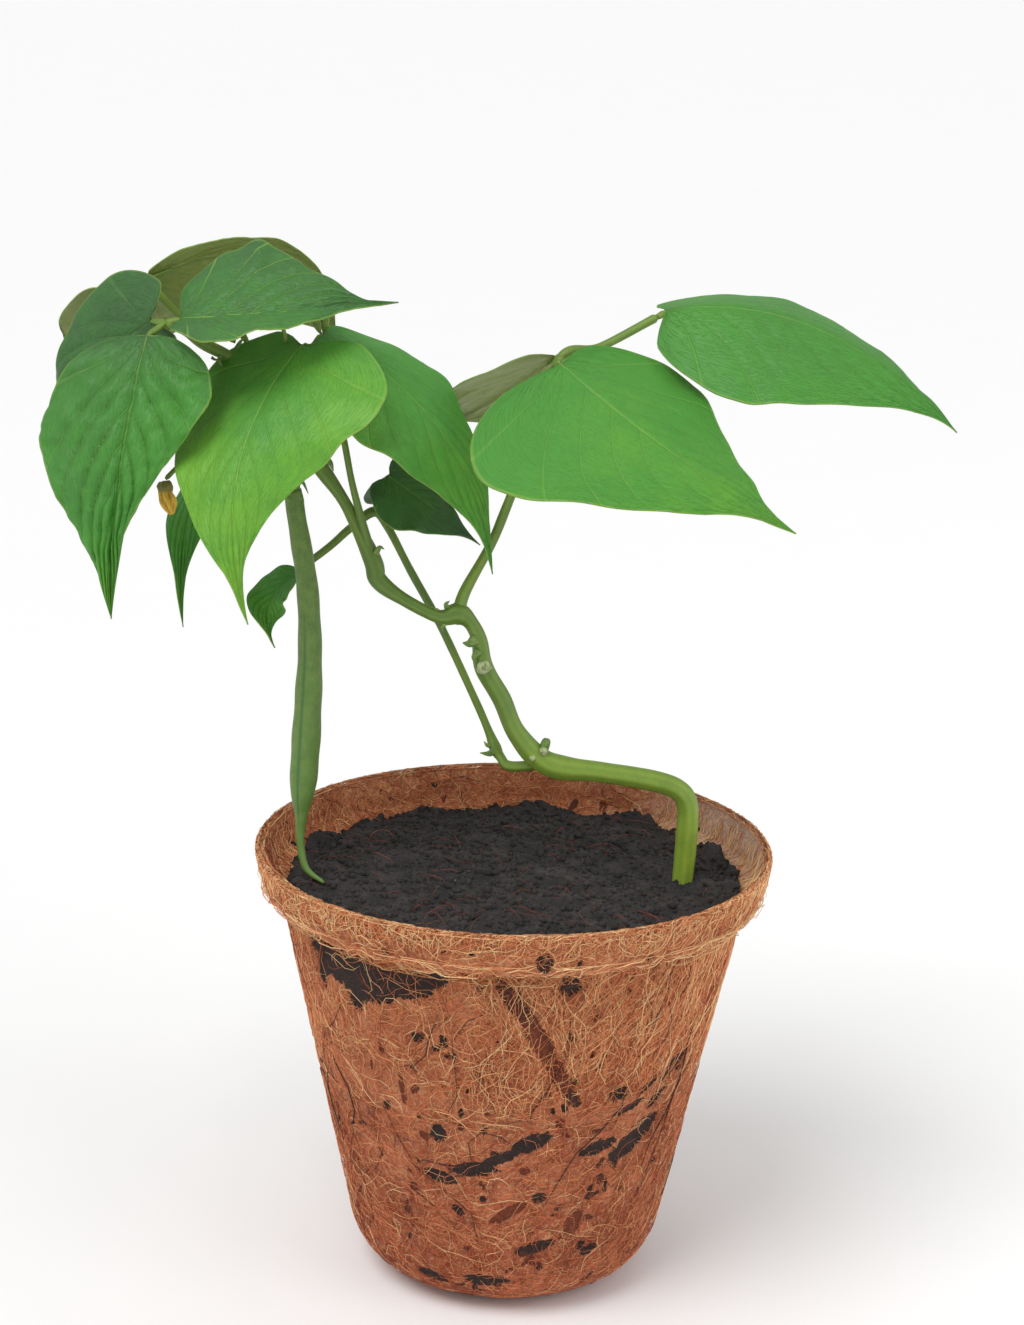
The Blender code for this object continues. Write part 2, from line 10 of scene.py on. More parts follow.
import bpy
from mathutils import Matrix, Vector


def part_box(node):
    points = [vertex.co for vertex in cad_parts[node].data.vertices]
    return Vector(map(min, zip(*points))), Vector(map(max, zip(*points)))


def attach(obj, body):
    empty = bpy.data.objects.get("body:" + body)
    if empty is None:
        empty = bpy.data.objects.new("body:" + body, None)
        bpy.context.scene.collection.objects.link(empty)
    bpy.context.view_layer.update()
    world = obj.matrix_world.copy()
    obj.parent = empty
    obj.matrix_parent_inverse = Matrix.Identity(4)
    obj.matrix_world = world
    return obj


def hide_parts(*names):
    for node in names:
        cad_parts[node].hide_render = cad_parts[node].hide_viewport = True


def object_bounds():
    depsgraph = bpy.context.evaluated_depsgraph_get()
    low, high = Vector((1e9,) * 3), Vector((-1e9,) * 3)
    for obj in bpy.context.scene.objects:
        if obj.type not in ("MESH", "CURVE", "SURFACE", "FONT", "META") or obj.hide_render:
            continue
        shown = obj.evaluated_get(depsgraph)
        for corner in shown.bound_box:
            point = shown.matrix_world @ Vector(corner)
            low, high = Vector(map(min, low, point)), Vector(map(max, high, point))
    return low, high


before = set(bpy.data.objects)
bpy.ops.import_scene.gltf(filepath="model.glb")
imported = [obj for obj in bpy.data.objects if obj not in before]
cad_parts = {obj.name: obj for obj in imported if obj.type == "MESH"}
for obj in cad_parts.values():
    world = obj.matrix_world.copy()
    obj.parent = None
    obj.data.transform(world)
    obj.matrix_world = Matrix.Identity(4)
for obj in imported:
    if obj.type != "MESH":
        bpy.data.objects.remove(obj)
cad_low, cad_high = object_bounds()
print("nodes:", len(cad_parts), "box:", tuple(cad_low), tuple(cad_high))

# %% Modules and units
import math

import bpy
import numpy as np
from mathutils import Matrix, Vector

MM = 0.001
RANDOM = np.random.default_rng(20)

# %% [markdown]
# ## Camera
#
# The plant is seen from in front and a little above, from about three quarters of a metre away.
# A camera can be aimed by a constraint or by its own axes. Axes built from three angles are
# used here, because they also hold the slight lean of a hand-held view.

# %% Camera
EYE = (0.0, -0.72284, 0.37940)
AIM_DOWN, AIM_SIDE, LEAN = (math.radians(a) for a in (15.971, 0.146, 1.528))
LENS = 76.75

back = Vector((math.sin(AIM_SIDE) * math.cos(AIM_DOWN),
               -math.cos(AIM_SIDE) * math.cos(AIM_DOWN),
               math.sin(AIM_DOWN)))
level = Vector((0, 0, 1)).cross(back).normalized()
upward = back.cross(level)
right = math.cos(LEAN) * level + math.sin(LEAN) * upward
top = math.cos(LEAN) * upward - math.sin(LEAN) * level
camera_data = bpy.data.cameras.new("camera")
camera_data.lens = LENS
camera_data.sensor_width = 36.0
camera = bpy.data.objects.new("camera", camera_data)
camera.matrix_world = Matrix((
    (right.x, top.x, back.x, EYE[0]),
    (right.y, top.y, back.y, EYE[1]),
    (right.z, top.z, back.z, EYE[2]),
    (0, 0, 0, 1)))
bpy.context.scene.collection.objects.link(camera)
bpy.context.scene.camera = camera
print("camera at", EYE, "lens", LENS)

# %% [markdown]
# ## Floor and light
#
# A studio shot of a small plant uses broad, soft light, so that shadows stay pale. Small lamps
# near the plant would leave the far floor grey. So the key is a distant lamp as wide as a
# window, high on the left, a large weak lamp stands on the right, and a white sky fills in.

# %% Studio
KEY_TOWARD = (0.42, 0.50, -1.0)
KEY_WIDTH = math.radians(34)
KEY_STRENGTH = 1.5
SIDE_PLACE = (1.0, -0.7, 0.7)
SIDE_POWER = 4.0
SIDE_SIZE = 0.9
LOOKED_AT = Vector((0.0, 0.0, 0.14))
SKY_STRENGTH = 0.62


def add_lamp(name, kind, toward, power, place=(0.0, 0.0, 1.0)):
    """A lamp at `place` that shines along `toward`."""
    data = bpy.data.lights.new(name, kind)
    data.energy = power
    lamp = bpy.data.objects.new(name, data)
    lamp.location = place
    lamp.rotation_mode = "QUATERNION"
    lamp.rotation_quaternion = Vector(toward).to_track_quat("-Z", "Y")
    bpy.context.scene.collection.objects.link(lamp)
    return data


add_lamp("key_lamp", "SUN", KEY_TOWARD, KEY_STRENGTH).angle = KEY_WIDTH
toward_plant = LOOKED_AT - Vector(SIDE_PLACE)
add_lamp("side_lamp", "AREA", toward_plant, SIDE_POWER, SIDE_PLACE).size = SIDE_SIZE
world = bpy.data.worlds.new("studio")
world.use_nodes = True
sky = world.node_tree.nodes["Background"].inputs
sky["Color"].default_value = (1.0, 1.0, 1.0, 1.0)
sky["Strength"].default_value = SKY_STRENGTH
bpy.context.scene.world = world
bpy.context.scene.view_settings.view_transform = "Standard"

# %% [markdown]
# ## Helpers for surfaces
#
# Every new piece is a surface worked out as whole arrays. Five helpers are enough: smooth
# random numbers, a smooth curve through chosen points, the quads of a grid, tubes carried along
# paths, and a function that turns points and faces into a named object.

# %% Smooth random numbers
def lattice_random(cells, seed):
    """A number from 0 to 1 for each whole-number cell: its three counts, mixed as integers."""
    x, y, z = (cells[..., axis].astype(np.int64) for axis in range(3))
    mixed = (x * 374761393 + y * 668265263 + z * 1274126177 + seed * 97471) & 0xFFFFFFFF
    mixed = ((mixed ^ (mixed >> 13)) * 1103515245) & 0xFFFFFFFF
    mixed = ((mixed ^ (mixed >> 16)) * 1597334677) & 0xFFFFFFFF
    return ((mixed ^ (mixed >> 15)) & 0xFFFFFF) / 0xFFFFFF


def noise(points, size, seed=0):
    """Smooth random numbers from -1 to 1 whose lumps are `size` across.

    Each point takes its cell's eight corner values, weighted by 3t^2 - 2t^3 along each axis.
    """
    scaled = points / size
    cell = np.floor(scaled)
    t = scaled - cell
    t = t * t * (3 - 2 * t)
    total = 0.0
    for corner in np.ndindex(2, 2, 2):
        weight = np.prod(np.where(corner, t, 1 - t), axis=-1)
        total = total + weight * lattice_random(cell + corner, seed)
    return 2 * total - 1


def rough(points, size, layers=3, seed=0):
    """Noise in layers: each next layer is half as large and half as strong."""
    return sum(noise(points, size / 2**i, seed + i) / 2**i for i in range(layers))


print("noise spread:", np.ptp(noise(RANDOM.uniform(0, 9, (999, 3)), 1.0)).round(2))

# %% Curves, grids and tubes
def smooth_curve(knots, step):
    """Rows about `step` apart on the Catmull-Rom curve through rows of knots."""
    knots = np.array(knots, dtype=float)
    knots = np.vstack([2 * knots[0] - knots[1], knots, 2 * knots[-1] - knots[-2]])
    runs = []
    for before, here, there, after in zip(knots, knots[1:], knots[2:], knots[3:]):
        count = max(2, round(np.linalg.norm((there - here)[:3]) / step))
        t = (np.arange(count) / count)[:, None]
        runs.append(0.5 * (2 * here + (there - before) * t
                           + (2 * before - 5 * here + 4 * there - after) * t**2
                           + (3 * here - before - 3 * there + after) * t**3))
    return np.vstack([*runs, knots[-2][None]])


def unit(vectors):
    """Vectors scaled to length one."""
    return vectors / np.maximum(np.linalg.norm(vectors, axis=-1, keepdims=True), 1e-12)


def grid_quads(rows, columns, closed):
    """Corners of the quads between neighbouring rows and columns; closed joins last to first."""
    row = np.arange(rows - 1)[:, None]
    column = np.arange(columns if closed else columns - 1)[None, :]
    beside = (column + 1) % columns
    corners = (row * columns + column, row * columns + beside,
               (row + 1) * columns + beside, (row + 1) * columns + column)
    return np.stack(np.broadcast_arrays(*corners), axis=-1).reshape(-1, 4)


def full_turn(count):
    """Angles spread evenly round a circle."""
    return np.linspace(0, 2 * math.pi, count, endpoint=False)


def tubes(paths, radii, facing, sides, section=None):
    """Closed tubes along many paths at once.

    paths is (tube, row, 3), radii is (tube, row), and facing is a direction that is never along
    the path. Each ring is path + radius * (cos a * facing + sin a * beside), where `section`
    can scale the radius by row and angle. A fan of triangles closes each end.
    """
    along = unit(np.gradient(paths, axis=1))
    facing = unit(facing - along * (facing * along).sum(-1, keepdims=True))
    beside = np.cross(along, facing)
    angle = full_turn(sides)
    spread = radii[:, :, None] * (1.0 if section is None else section(angle)[None])
    rings = (paths[:, :, None, :]
             + spread[..., None] * (np.cos(angle)[:, None] * facing[:, :, None, :]
                                    + np.sin(angle)[:, None] * beside[:, :, None, :]))
    count, rows = radii.shape
    first = (np.arange(count) * rows * sides)[:, None, None]
    quads = grid_quads(rows, sides, closed=True)[None] + first
    fan = np.stack([np.zeros(sides - 2, int), np.arange(2, sides), np.arange(1, sides - 1)], -1)
    ends = np.concatenate([fan, fan[:, ::-1] + (rows - 1) * sides])[None] + first
    return rings.reshape(-1, 3), quads.reshape(-1, 4), ends.reshape(-1, 3)


print("quads in a closed 3 by 4 grid:", len(grid_quads(3, 4, closed=True)))

# %% [markdown]
# A finished mesh must face outwards all over. The volume enclosed by its faces is positive
# only then, so the sign of that volume tells whether the faces have to be turned round.

# %% From arrays to a named piece
def signed_volume(points, triangles):
    """Sum over triangles of a . (b x c) / 6, with points taken from their own middle."""
    a, b, c = (points[triangles[:, i]] - points.mean(0) for i in range(3))
    return (a * np.cross(b, c)).sum() / 6


def new_piece(name, points, quads, triangles, finish, replaces=()):
    """Make a smooth-shaded object at the origin, facing outwards, on the plant's one body."""
    quads = np.asarray(quads, int).reshape(-1, 4)
    triangles = np.asarray(triangles, int).reshape(-1, 3)
    halves = np.concatenate([quads[:, [0, 1, 2]], quads[:, [0, 2, 3]], triangles])
    if signed_volume(points, halves) < 0:
        quads, triangles = quads[:, ::-1], triangles[:, ::-1]
    corners = np.concatenate([quads.ravel(), triangles.ravel()]).astype(np.int32)
    sizes = np.concatenate([np.full(len(quads), 4), np.full(len(triangles), 3)])
    mesh = bpy.data.meshes.new(name)
    mesh.vertices.add(len(points))
    mesh.vertices.foreach_set("co", np.asarray(points, np.float32).ravel())
    mesh.loops.add(len(corners))
    mesh.loops.foreach_set("vertex_index", corners)
    mesh.polygons.add(len(sizes))
    mesh.polygons.foreach_set("loop_start", (np.cumsum(sizes) - sizes).astype(np.int32))
    mesh.update(calc_edges=True)
    mesh.validate()
    mesh.shade_smooth()
    mesh.materials.append(finish)
    piece = bpy.data.objects.new(name, mesh)
    bpy.context.scene.collection.objects.link(piece)
    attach(piece, "root")
    for node in replaces:
        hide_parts(node)
    return piece


def paint(piece, **values):
    """Store numbers on the vertices, by name, for the materials to read."""
    for name, numbers in values.items():
        layer = piece.data.attributes.new(name, "FLOAT", "POINT")
        layer.data.foreach_set("value", np.asarray(numbers, np.float32).ravel())


def vertex_uv(piece, u, v):
    """Give each face corner the u and v of its vertex."""
    layer = piece.data.uv_layers.new(name="UVMap")
    index = np.empty(len(piece.data.loops), np.int32)
    piece.data.loops.foreach_get("vertex_index", index)
    pairs = np.stack([np.ravel(u)[index], np.ravel(v)[index]], -1).astype(np.float32)
    layer.uv.foreach_set("vector", pairs.ravel())


print("helpers ready")

# %% [markdown]
# ## Helpers for materials
#
# A material is a small program of nodes. These helpers write it in the order in which a person
# would say it. Effects that more than one finish uses become node groups.

# %% Node helpers
def node(tree, kind, values=None, **settings):
    """Add a node; a value that is itself a socket is linked, and any other value is set."""
    made = tree.nodes.new(kind)
    for key, value in settings.items():
        setattr(made, key, value)
    for key, value in (values or {}).items():
        if isinstance(value, bpy.types.NodeSocket):
            tree.links.new(value, made.inputs[key])
        else:
            made.inputs[key].default_value = value
    return made


def maths(tree, operation, *values, clamp=False):
    """One step of arithmetic."""
    step = node(tree, "ShaderNodeMath", dict(enumerate(values)), operation=operation)
    step.use_clamp = clamp
    return step.outputs[0]


def blend_colours(tree, share, first, second):
    """The first colour where share is 0 and the second where it is 1."""
    values = {0: share, 6: first, 7: second}
    return node(tree, "ShaderNodeMix", values, data_type="RGBA").outputs[2]


def tint(tree, under, share, strength, over):
    """Lay the colour `over` on `under`, as much as share times strength."""
    return blend_colours(tree, maths(tree, "MULTIPLY", share, strength), under, over)


def sway(tree, value, texture, strength):
    """Add a texture to a value, counted from its middle 0.5 and scaled by strength."""
    offset = maths(tree, "SUBTRACT", texture, 0.5)
    return maths(tree, "ADD", value, maths(tree, "MULTIPLY", offset, strength))


def rise(tree, value, low, high):
    """0 below low, 1 above high, and a smooth rise between."""
    values = {"Value": value, "From Min": low, "From Max": high}
    made = node(tree, "ShaderNodeMapRange", values, interpolation_type="SMOOTHSTEP")
    return made.outputs["Result"]


def noise_value(tree, vector, scale, detail=4.0, roughness=0.55):
    """Blender's noise, from 0 to 1."""
    values = {"Vector": vector, "Scale": scale, "Detail": detail, "Roughness": roughness}
    return node(tree, "ShaderNodeTexNoise", values).outputs["Fac"]


def stored(tree, name):
    """A number stored on the piece's vertices."""
    return node(tree, "ShaderNodeAttribute", attribute_name=name).outputs["Fac"]


def rgb(red, green, blue):
    """A colour with full cover."""
    return (red, green, blue, 1.0)


def new_material(name):
    """An empty Principled material: returns it, its tree, its shader and its place vector."""
    made = bpy.data.materials.new(name)
    made.use_nodes = True
    tree = made.node_tree
    place = node(tree, "ShaderNodeTexCoord").outputs["Object"]
    return made, tree, tree.nodes["Principled BSDF"], place


def set_surface(tree, shader, colour, roughness, specular=0.5):
    """Link the colour and set the two numbers that are the same all over."""
    tree.links.new(colour, shader.inputs["Base Color"])
    shader.inputs["Roughness"].default_value = roughness
    shader.inputs["Specular IOR Level"].default_value = specular


def add_bump(tree, shader, height, distance, strength=1.0):
    """Feed a height into the shader's normal; distance is the relief in metres."""
    values = {"Height": height, "Distance": distance, "Strength": strength}
    tree.links.new(node(tree, "ShaderNodeBump", values).outputs["Normal"], shader.inputs["Normal"])


def new_group(name, inputs, outputs):
    """A shader node group with float or vector inputs and float outputs."""
    group = bpy.data.node_groups.new(name, "ShaderNodeTree")
    for label, kind, value in inputs:
        socket = group.interface.new_socket(label, in_out="INPUT", socket_type=kind)
        if value is not None:
            socket.default_value = value
    for label in outputs:
        group.interface.new_socket(label, in_out="OUTPUT", socket_type="NodeSocketFloat")
    given, out = group.nodes.new("NodeGroupInput"), group.nodes.new("NodeGroupOutput")
    return group, given.outputs, out.inputs


def use_group(tree, group, values):
    """Place a group in a material and return its outputs."""
    return node(tree, "ShaderNodeGroup", values, node_tree=group).outputs


print("node helpers ready")

# %% [markdown]
# ### Shared effects
#
# *Tangle* draws fine crossing threads: where a smooth noise passes through its middle value it
# leaves a thin wandering line, and three noises together look like matted fibre. *Grain* is the
# fine mottling that no natural surface is without.

# %% Shared node groups
def tangle_group():
    """Threads where any of three noises is near 0.5."""
    group, given, out = new_group(
        "tangle",
        [("Vector", "NodeSocketVector", None), ("Scale", "NodeSocketFloat", 300.0),
         ("Width", "NodeSocketFloat", 0.03)],
        ["Threads"])
    threads = None
    for shift in (0.0, 3.7, 8.1):
        moved = node(group, "ShaderNodeVectorMath", {0: given["Vector"], 1: (shift, shift, shift)})
        value = noise_value(group, moved.outputs[0], given["Scale"], detail=1.0)
        away = maths(group, "ABSOLUTE", maths(group, "SUBTRACT", value, 0.5))
        near = rise(group, maths(group, "DIVIDE", away, given["Width"]), 1.0, 0.2)
        threads = near if threads is None else maths(group, "MAXIMUM", threads, near)
    group.links.new(threads, out["Threads"])
    return group


def grain_group():
    """Two sizes of noise, added."""
    group, given, out = new_group(
        "grain",
        [("Vector", "NodeSocketVector", None), ("Scale", "NodeSocketFloat", 100.0)],
        ["Value"])
    coarse = noise_value(group, given["Vector"], given["Scale"])
    finer = maths(group, "MULTIPLY", given["Scale"], 6.0)
    fine = noise_value(group, given["Vector"], finer)
    total = maths(group, "ADD", maths(group, "MULTIPLY", coarse, 0.6),
                  maths(group, "MULTIPLY", fine, 0.4))
    group.links.new(total, out["Value"])
    return group


def grain_of(tree, place, scale):
    """The grain at a place, from 0 to 1."""
    return use_group(tree, GRAIN, {"Vector": place, "Scale": scale})["Value"]


TANGLE = tangle_group()
GRAIN = grain_group()
print("groups:", [g.name for g in bpy.data.node_groups])

# %% Floor
def floor_finish():
    """Matt white card with the faintest grain."""
    made, tree, shader, place = new_material("studio_floor")
    value = grain_of(tree, place, 12.0)
    colour = blend_colours(tree, value, rgb(0.94, 0.94, 0.94), rgb(0.97, 0.97, 0.97))
    set_surface(tree, shader, colour, 0.9)
    return made


FLOOR_HALF = 20.0
floor_mesh = bpy.data.meshes.new("studio_floor")
floor_corners = [(x * FLOOR_HALF, y * FLOOR_HALF, 0.0)
                 for x, y in ((-1, -1), (1, -1), (1, 1), (-1, 1))]
floor_mesh.from_pydata(floor_corners, [], [(0, 1, 2, 3)])
floor_mesh.materials.append(floor_finish())
floor = bpy.data.objects.new("studio_floor", floor_mesh)
bpy.context.scene.collection.objects.link(floor)
print("floor", 2 * FLOOR_HALF, "m across")

# %% [markdown]
# ## The coir pot
#
# A coir pot is coconut fibre pressed with a little latex into a thin cup with a stepped collar.
# It could be one turned shape with a picture of fibres on it, but at this size the fibres are
# thick enough to see one by one. So the pot is built in two parts: a turned, slightly lumpy
# wall, and over it thousands of thin strands that wander across the surface. Dark patches,
# where bark was pressed in, are places with a stored number, and the strands leave them bare.

# %% Pot sizes
pot_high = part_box("coir_pot")[1]
RIM_RADIUS = pot_high.x
POT_HEIGHT = pot_high.z
COLLAR_FOOT = POT_HEIGHT - 12.0 * MM
COLLAR_TAPER = 2.4 * MM
BODY_TOP = RIM_RADIUS - COLLAR_TAPER - 4.5 * MM
BASE_RADIUS = 40.0 * MM
WALL = 3.0 * MM
LIP_WALL = 2.6 * MM
FLOOR_THICKNESS = 4.0 * MM
LIP_ROUNDING = 0.8 * MM
FINE_FROM = 95.0 * MM
FOOT_ROUNDING = 19.5 * MM
STRAND_ROOM = 0.35 * MM
SLOPE = math.atan2(BODY_TOP - BASE_RADIUS, COLLAR_FOOT)


def cup_radius(z):
    """Outer radius of the tapered cup at a height."""
    return BASE_RADIUS + (BODY_TOP - BASE_RADIUS) * z / COLLAR_FOOT


def foot_arc(floor_height, inset, rounding, rows):
    """An arc that leaves the sloping wall and lands on the flat floor, touching both."""
    centre_z = floor_height + rounding
    centre_r = cup_radius(centre_z) - inset - rounding / math.cos(SLOPE)
    angle = np.linspace(-SLOPE, -math.pi / 2, rows)
    return np.stack([centre_r + rounding * np.cos(angle), centre_z + rounding * np.sin(angle)], -1)


def line(start, end, rows):
    """Points from start up to, but not including, end."""
    t = (np.arange(rows) / rows)[:, None]
    return np.array(start) * (1 - t) + np.array(end) * t


def pot_profile():
    """Radius and height from the inner floor, up and over the lip, down to the foot.

    Rows are close together where the pot is seen, and far apart where the compost hides it.
    """
    inner_foot = foot_arc(FLOOR_THICKNESS, WALL, FOOT_ROUNDING - WALL, 7)[::-1]
    room = STRAND_ROOM
    lip_r, lip_z = RIM_RADIUS - LIP_WALL + room, POT_HEIGHT - LIP_ROUNDING
    outer_r = RIM_RADIUS - room
    ledge = (lip_r - COLLAR_TAPER, COLLAR_FOOT + WALL)
    cup_inner = (cup_radius(COLLAR_FOOT) - WALL, COLLAR_FOOT)
    fine_start = (cup_radius(FINE_FROM) - WALL, FINE_FROM)
    middle = (lip_r + outer_r) / 2
    turn = np.linspace(math.pi, 0, 7)
    lip = np.stack([middle + (outer_r - lip_r) / 2 * np.cos(turn),
                    lip_z + (LIP_ROUNDING - room) * np.sin(turn)], -1)
    collar_foot = (outer_r - COLLAR_TAPER, COLLAR_FOOT + room)
    under = (BODY_TOP - room, COLLAR_FOOT - 0.6 * MM)
    outer_foot = foot_arc(0.0, room, FOOT_ROUNDING, 22)
    return np.vstack([
        line(inner_foot[0] * (0.1, 1), inner_foot[0], 2), inner_foot[:-1],
        line(inner_foot[-1], fine_start, 8), line(fine_start, cup_inner, 18),
        line(cup_inner, ledge, 8), line(ledge, lip[0], 14), lip,
        line(lip[-1], collar_foot, 22)[1:], line(collar_foot, under, 8),
        line(under, outer_foot[0], 112), outer_foot[:-1],
        line(outer_foot[-1], (outer_foot[-1][0] * 0.1, 0.0), 5)])


PROFILE = pot_profile()
print("pot radius", RIM_RADIUS, "height", POT_HEIGHT, "rows", len(PROFILE))

# %% [markdown]
# Each dark patch is an ellipse on the wall: an angle round the pot from the front, a height, two
# half-lengths and a tilt. Its number is 1 inside and fades to 0 outside, and the material cuts
# that fade with fine noise, which gives the ragged edge of torn bark.

# %% Dark patches
# Angle in degrees, height, half-length and half-width in mm, tilt in degrees, darkness.
PATCHES = (
    (-50.0, 102.0, 8.5, 5.2, -10.0, 1.0), (-38.0, 100.0, 9.5, 5.8, 8.0, 1.0),
    (-26.5, 102.0, 8.0, 4.0, 12.0, 1.0), (-42.0, 93.5, 3.6, 2.6, 60.0, 1.0),
    (-56.0, 96.0, 4.2, 1.8, 80.0, 1.0), (-19.0, 104.5, 4.5, 2.0, 20.0, 1.0),
    (1.3, 100.0, 7.5, 2.0, -58.0, 0.75), (7.5, 89.5, 9.5, 2.3, -60.0, 0.6),
    (13.5, 78.0, 8.5, 2.0, -62.0, 0.6), (18.0, 70.5, 3.6, 1.6, -50.0, 0.8),
    (-20.2, 57.9, 2.0, 2.6, 0.0, 1.0), (-20.0, 44.3, 4.2, 1.8, -12.0, 1.0),
    (-9.5, 48.0, 5.5, 2.1, 8.0, 1.0), (-1.6, 52.0, 4.6, 1.5, 24.0, 1.0),
    (7.5, 56.8, 5.2, 2.2, 22.0, 1.0), (43.0, 53.0, 8.0, 3.1, 33.0, 1.0),
    (29.0, 53.2, 5.2, 1.8, 10.0, 1.0), (53.9, 72.5, 5.2, 2.5, 35.0, 1.0),
    (49.5, 64.5, 4.5, 1.3, 40.0, 0.9), (32.6, 69.3, 2.6, 1.9, 0.0, 0.95),
    (38.0, 64.0, 4.0, 1.1, 15.0, 0.9), (44.0, 69.5, 3.0, 1.1, 30.0, 0.9),
    (14.1, 104.8, 2.9, 2.6, -30.0, 0.9), (7.2, 114.0, 1.9, 2.6, 10.0, 0.9),
    (11.0, 23.0, 5.0, 1.6, 15.0, 0.85), (-6.1, 11.9, 5.5, 1.7, 0.0, 0.9),
    (-27.3, 10.6, 4.2, 1.6, -8.0, 0.9), (31.9, 20.0, 2.2, 1.4, 30.0, 0.9),
    (11.2, 39.3, 1.7, 1.7, 0.0, 1.0), (-66.9, 50.6, 1.6, 4.0, -10.0, 0.9),
    (1.3, 34.6, 5.0, 1.6, 35.0, 0.5), (24.0, 30.0, 2.0, 3.6, -20.0, 0.55),
    (-30.7, 69.4, 1.0, 4.5, 0.0, 0.6), (-19.2, 84.4, 1.2, 1.0, 0.0, 0.9),
    (152.0, 88.0, 9.0, 2.6, 30.0, 0.9), (200.0, 60.0, 6.0, 2.4, -15.0, 0.9),
    (228.0, 98.0, 8.0, 3.2, 10.0, 1.0), (118.0, 45.0, 5.0, 2.0, 40.0, 0.9),
    (172.0, 30.0, 6.0, 1.9, 0.0, 0.8), (262.0, 70.0, 3.0, 3.4, 0.0, 0.9),
    (96.0, 80.0, 3.2, 1.8, 50.0, 0.9), (246.0, 34.0, 5.0, 1.6, -30.0, 0.9),
)
SPOT_COUNT = 330
PATCH_SPREAD = 1.18


def all_patches():
    """The chosen patches, then small spots spread at random all over the wall."""
    spots = np.stack([
        RANDOM.uniform(-180, 180, SPOT_COUNT), RANDOM.uniform(3, 117, SPOT_COUNT),
        RANDOM.uniform(0.5, 2.1, SPOT_COUNT), RANDOM.uniform(0.4, 1.2, SPOT_COUNT),
        RANDOM.uniform(-90, 90, SPOT_COUNT), RANDOM.uniform(0.5, 1.0, SPOT_COUNT)], -1)
    return np.vstack([PATCHES, spots])


def stain_at(points, patches):
    """Stain and darkness at points on the pot.

    For each patch, d is the distance from its middle in its own turned and scaled axes. The
    stain is 1.5 - d, held between 0 and 1, of the nearest patch, and the darkness is that
    patch's.
    """
    angle = np.degrees(np.arctan2(points[:, 0], -points[:, 1]))
    radius = np.hypot(points[:, 0], points[:, 1]) / MM
    stain = np.zeros(len(points))
    dark = np.zeros(len(points))
    for turn, height, half_long, half_wide, tilt, depth in patches:
        across = np.radians((angle - turn + 180) % 360 - 180) * radius / PATCH_SPREAD
        upwards = (points[:, 2] / MM - height) / PATCH_SPREAD
        c, s = math.cos(math.radians(tilt)), math.sin(math.radians(tilt))
        along, beside = across * c + upwards * s, upwards * c - across * s
        d = np.hypot(along / half_long, beside / half_wide)
        value = np.clip(1.5 - d, 0, 1)
        dark = np.where(value > stain, depth, dark)
        stain = np.maximum(stain, value)
    return stain, dark


WALL_PATCHES = all_patches()
print("patches:", len(WALL_PATCHES))

# %% [markdown]
# The wall's own material is a rusty felt: darker and redder towards the foot, with fine threads
# drawn on it and the dark patches cut in.

# %% Coir felt
def coir_felt():
    """Rust felt with threads and a pale painted sheen over it, and bark patches cut with fine noise.
    """
    made, tree, shader, place = new_material("coir_felt")
    height = node(tree, "ShaderNodeSeparateXYZ", {0: place}).outputs["Z"]
    lift = rise(tree, height, 0.0, POT_HEIGHT)
    low = blend_colours(tree, lift, rgb(0.27, 0.048, 0.022), rgb(0.44, 0.125, 0.058))
    high = blend_colours(tree, lift, rgb(0.54, 0.140, 0.068), rgb(0.70, 0.280, 0.130))
    mottle = grain_of(tree, place, 70.0)
    felt = blend_colours(tree, rise(tree, mottle, 0.35, 0.65), low, high)
    fine = use_group(tree, TANGLE, {"Vector": place, "Scale": 420.0, "Width": 0.035})["Threads"]
    thick = use_group(tree, TANGLE, {"Vector": place, "Scale": 190.0, "Width": 0.018})["Threads"]
    felt = tint(tree, felt, fine, 0.55, rgb(0.66, 0.36, 0.18))
    felt = tint(tree, felt, thick, 0.35, rgb(0.22, 0.05, 0.03))
    # Painted sheen: a pale grey-pink sheen laid on the inner wall at the right, by its stored mask.
    ash = blend_colours(tree, mottle, rgb(0.50, 0.32, 0.24), rgb(0.82, 0.62, 0.50))
    felt = tint(tree, felt, stored(tree, "ash"), 0.8, ash)
    tear = noise_value(tree, place, 700.0, detail=5.0)
    cut = rise(tree, sway(tree, stored(tree, "stain"), tear, 0.9), 0.46, 0.60)
    bark = blend_colours(tree, mottle, rgb(0.020, 0.014, 0.013), rgb(0.060, 0.040, 0.034))
    full = rise(tree, stored(tree, "stain_dark"), 0.55, 0.9)
    bark = blend_colours(tree, full, rgb(0.19, 0.050, 0.026), bark)
    set_surface(tree, shader, blend_colours(tree, cut, felt, bark), 0.92, 0.25)
    relief = maths(tree, "ADD", maths(tree, "MULTIPLY", fine, 0.6), mottle)
    add_bump(tree, shader, maths(tree, "SUBTRACT", relief, cut), 0.0005)
    return made


COIR_FELT = coir_felt()
print("finish:", COIR_FELT.name)

# %% Pot wall
WALL_COLUMNS = 384
LIP_ROW = int(np.argmax(PROFILE[:, 1]))
LIP_DEPTH = 2.5 * MM
# Middle angle and spread, in degrees, of the painted pale sheen on the inner wall.
SHEEN_TURN, SHEEN_SPREAD = 108, 32


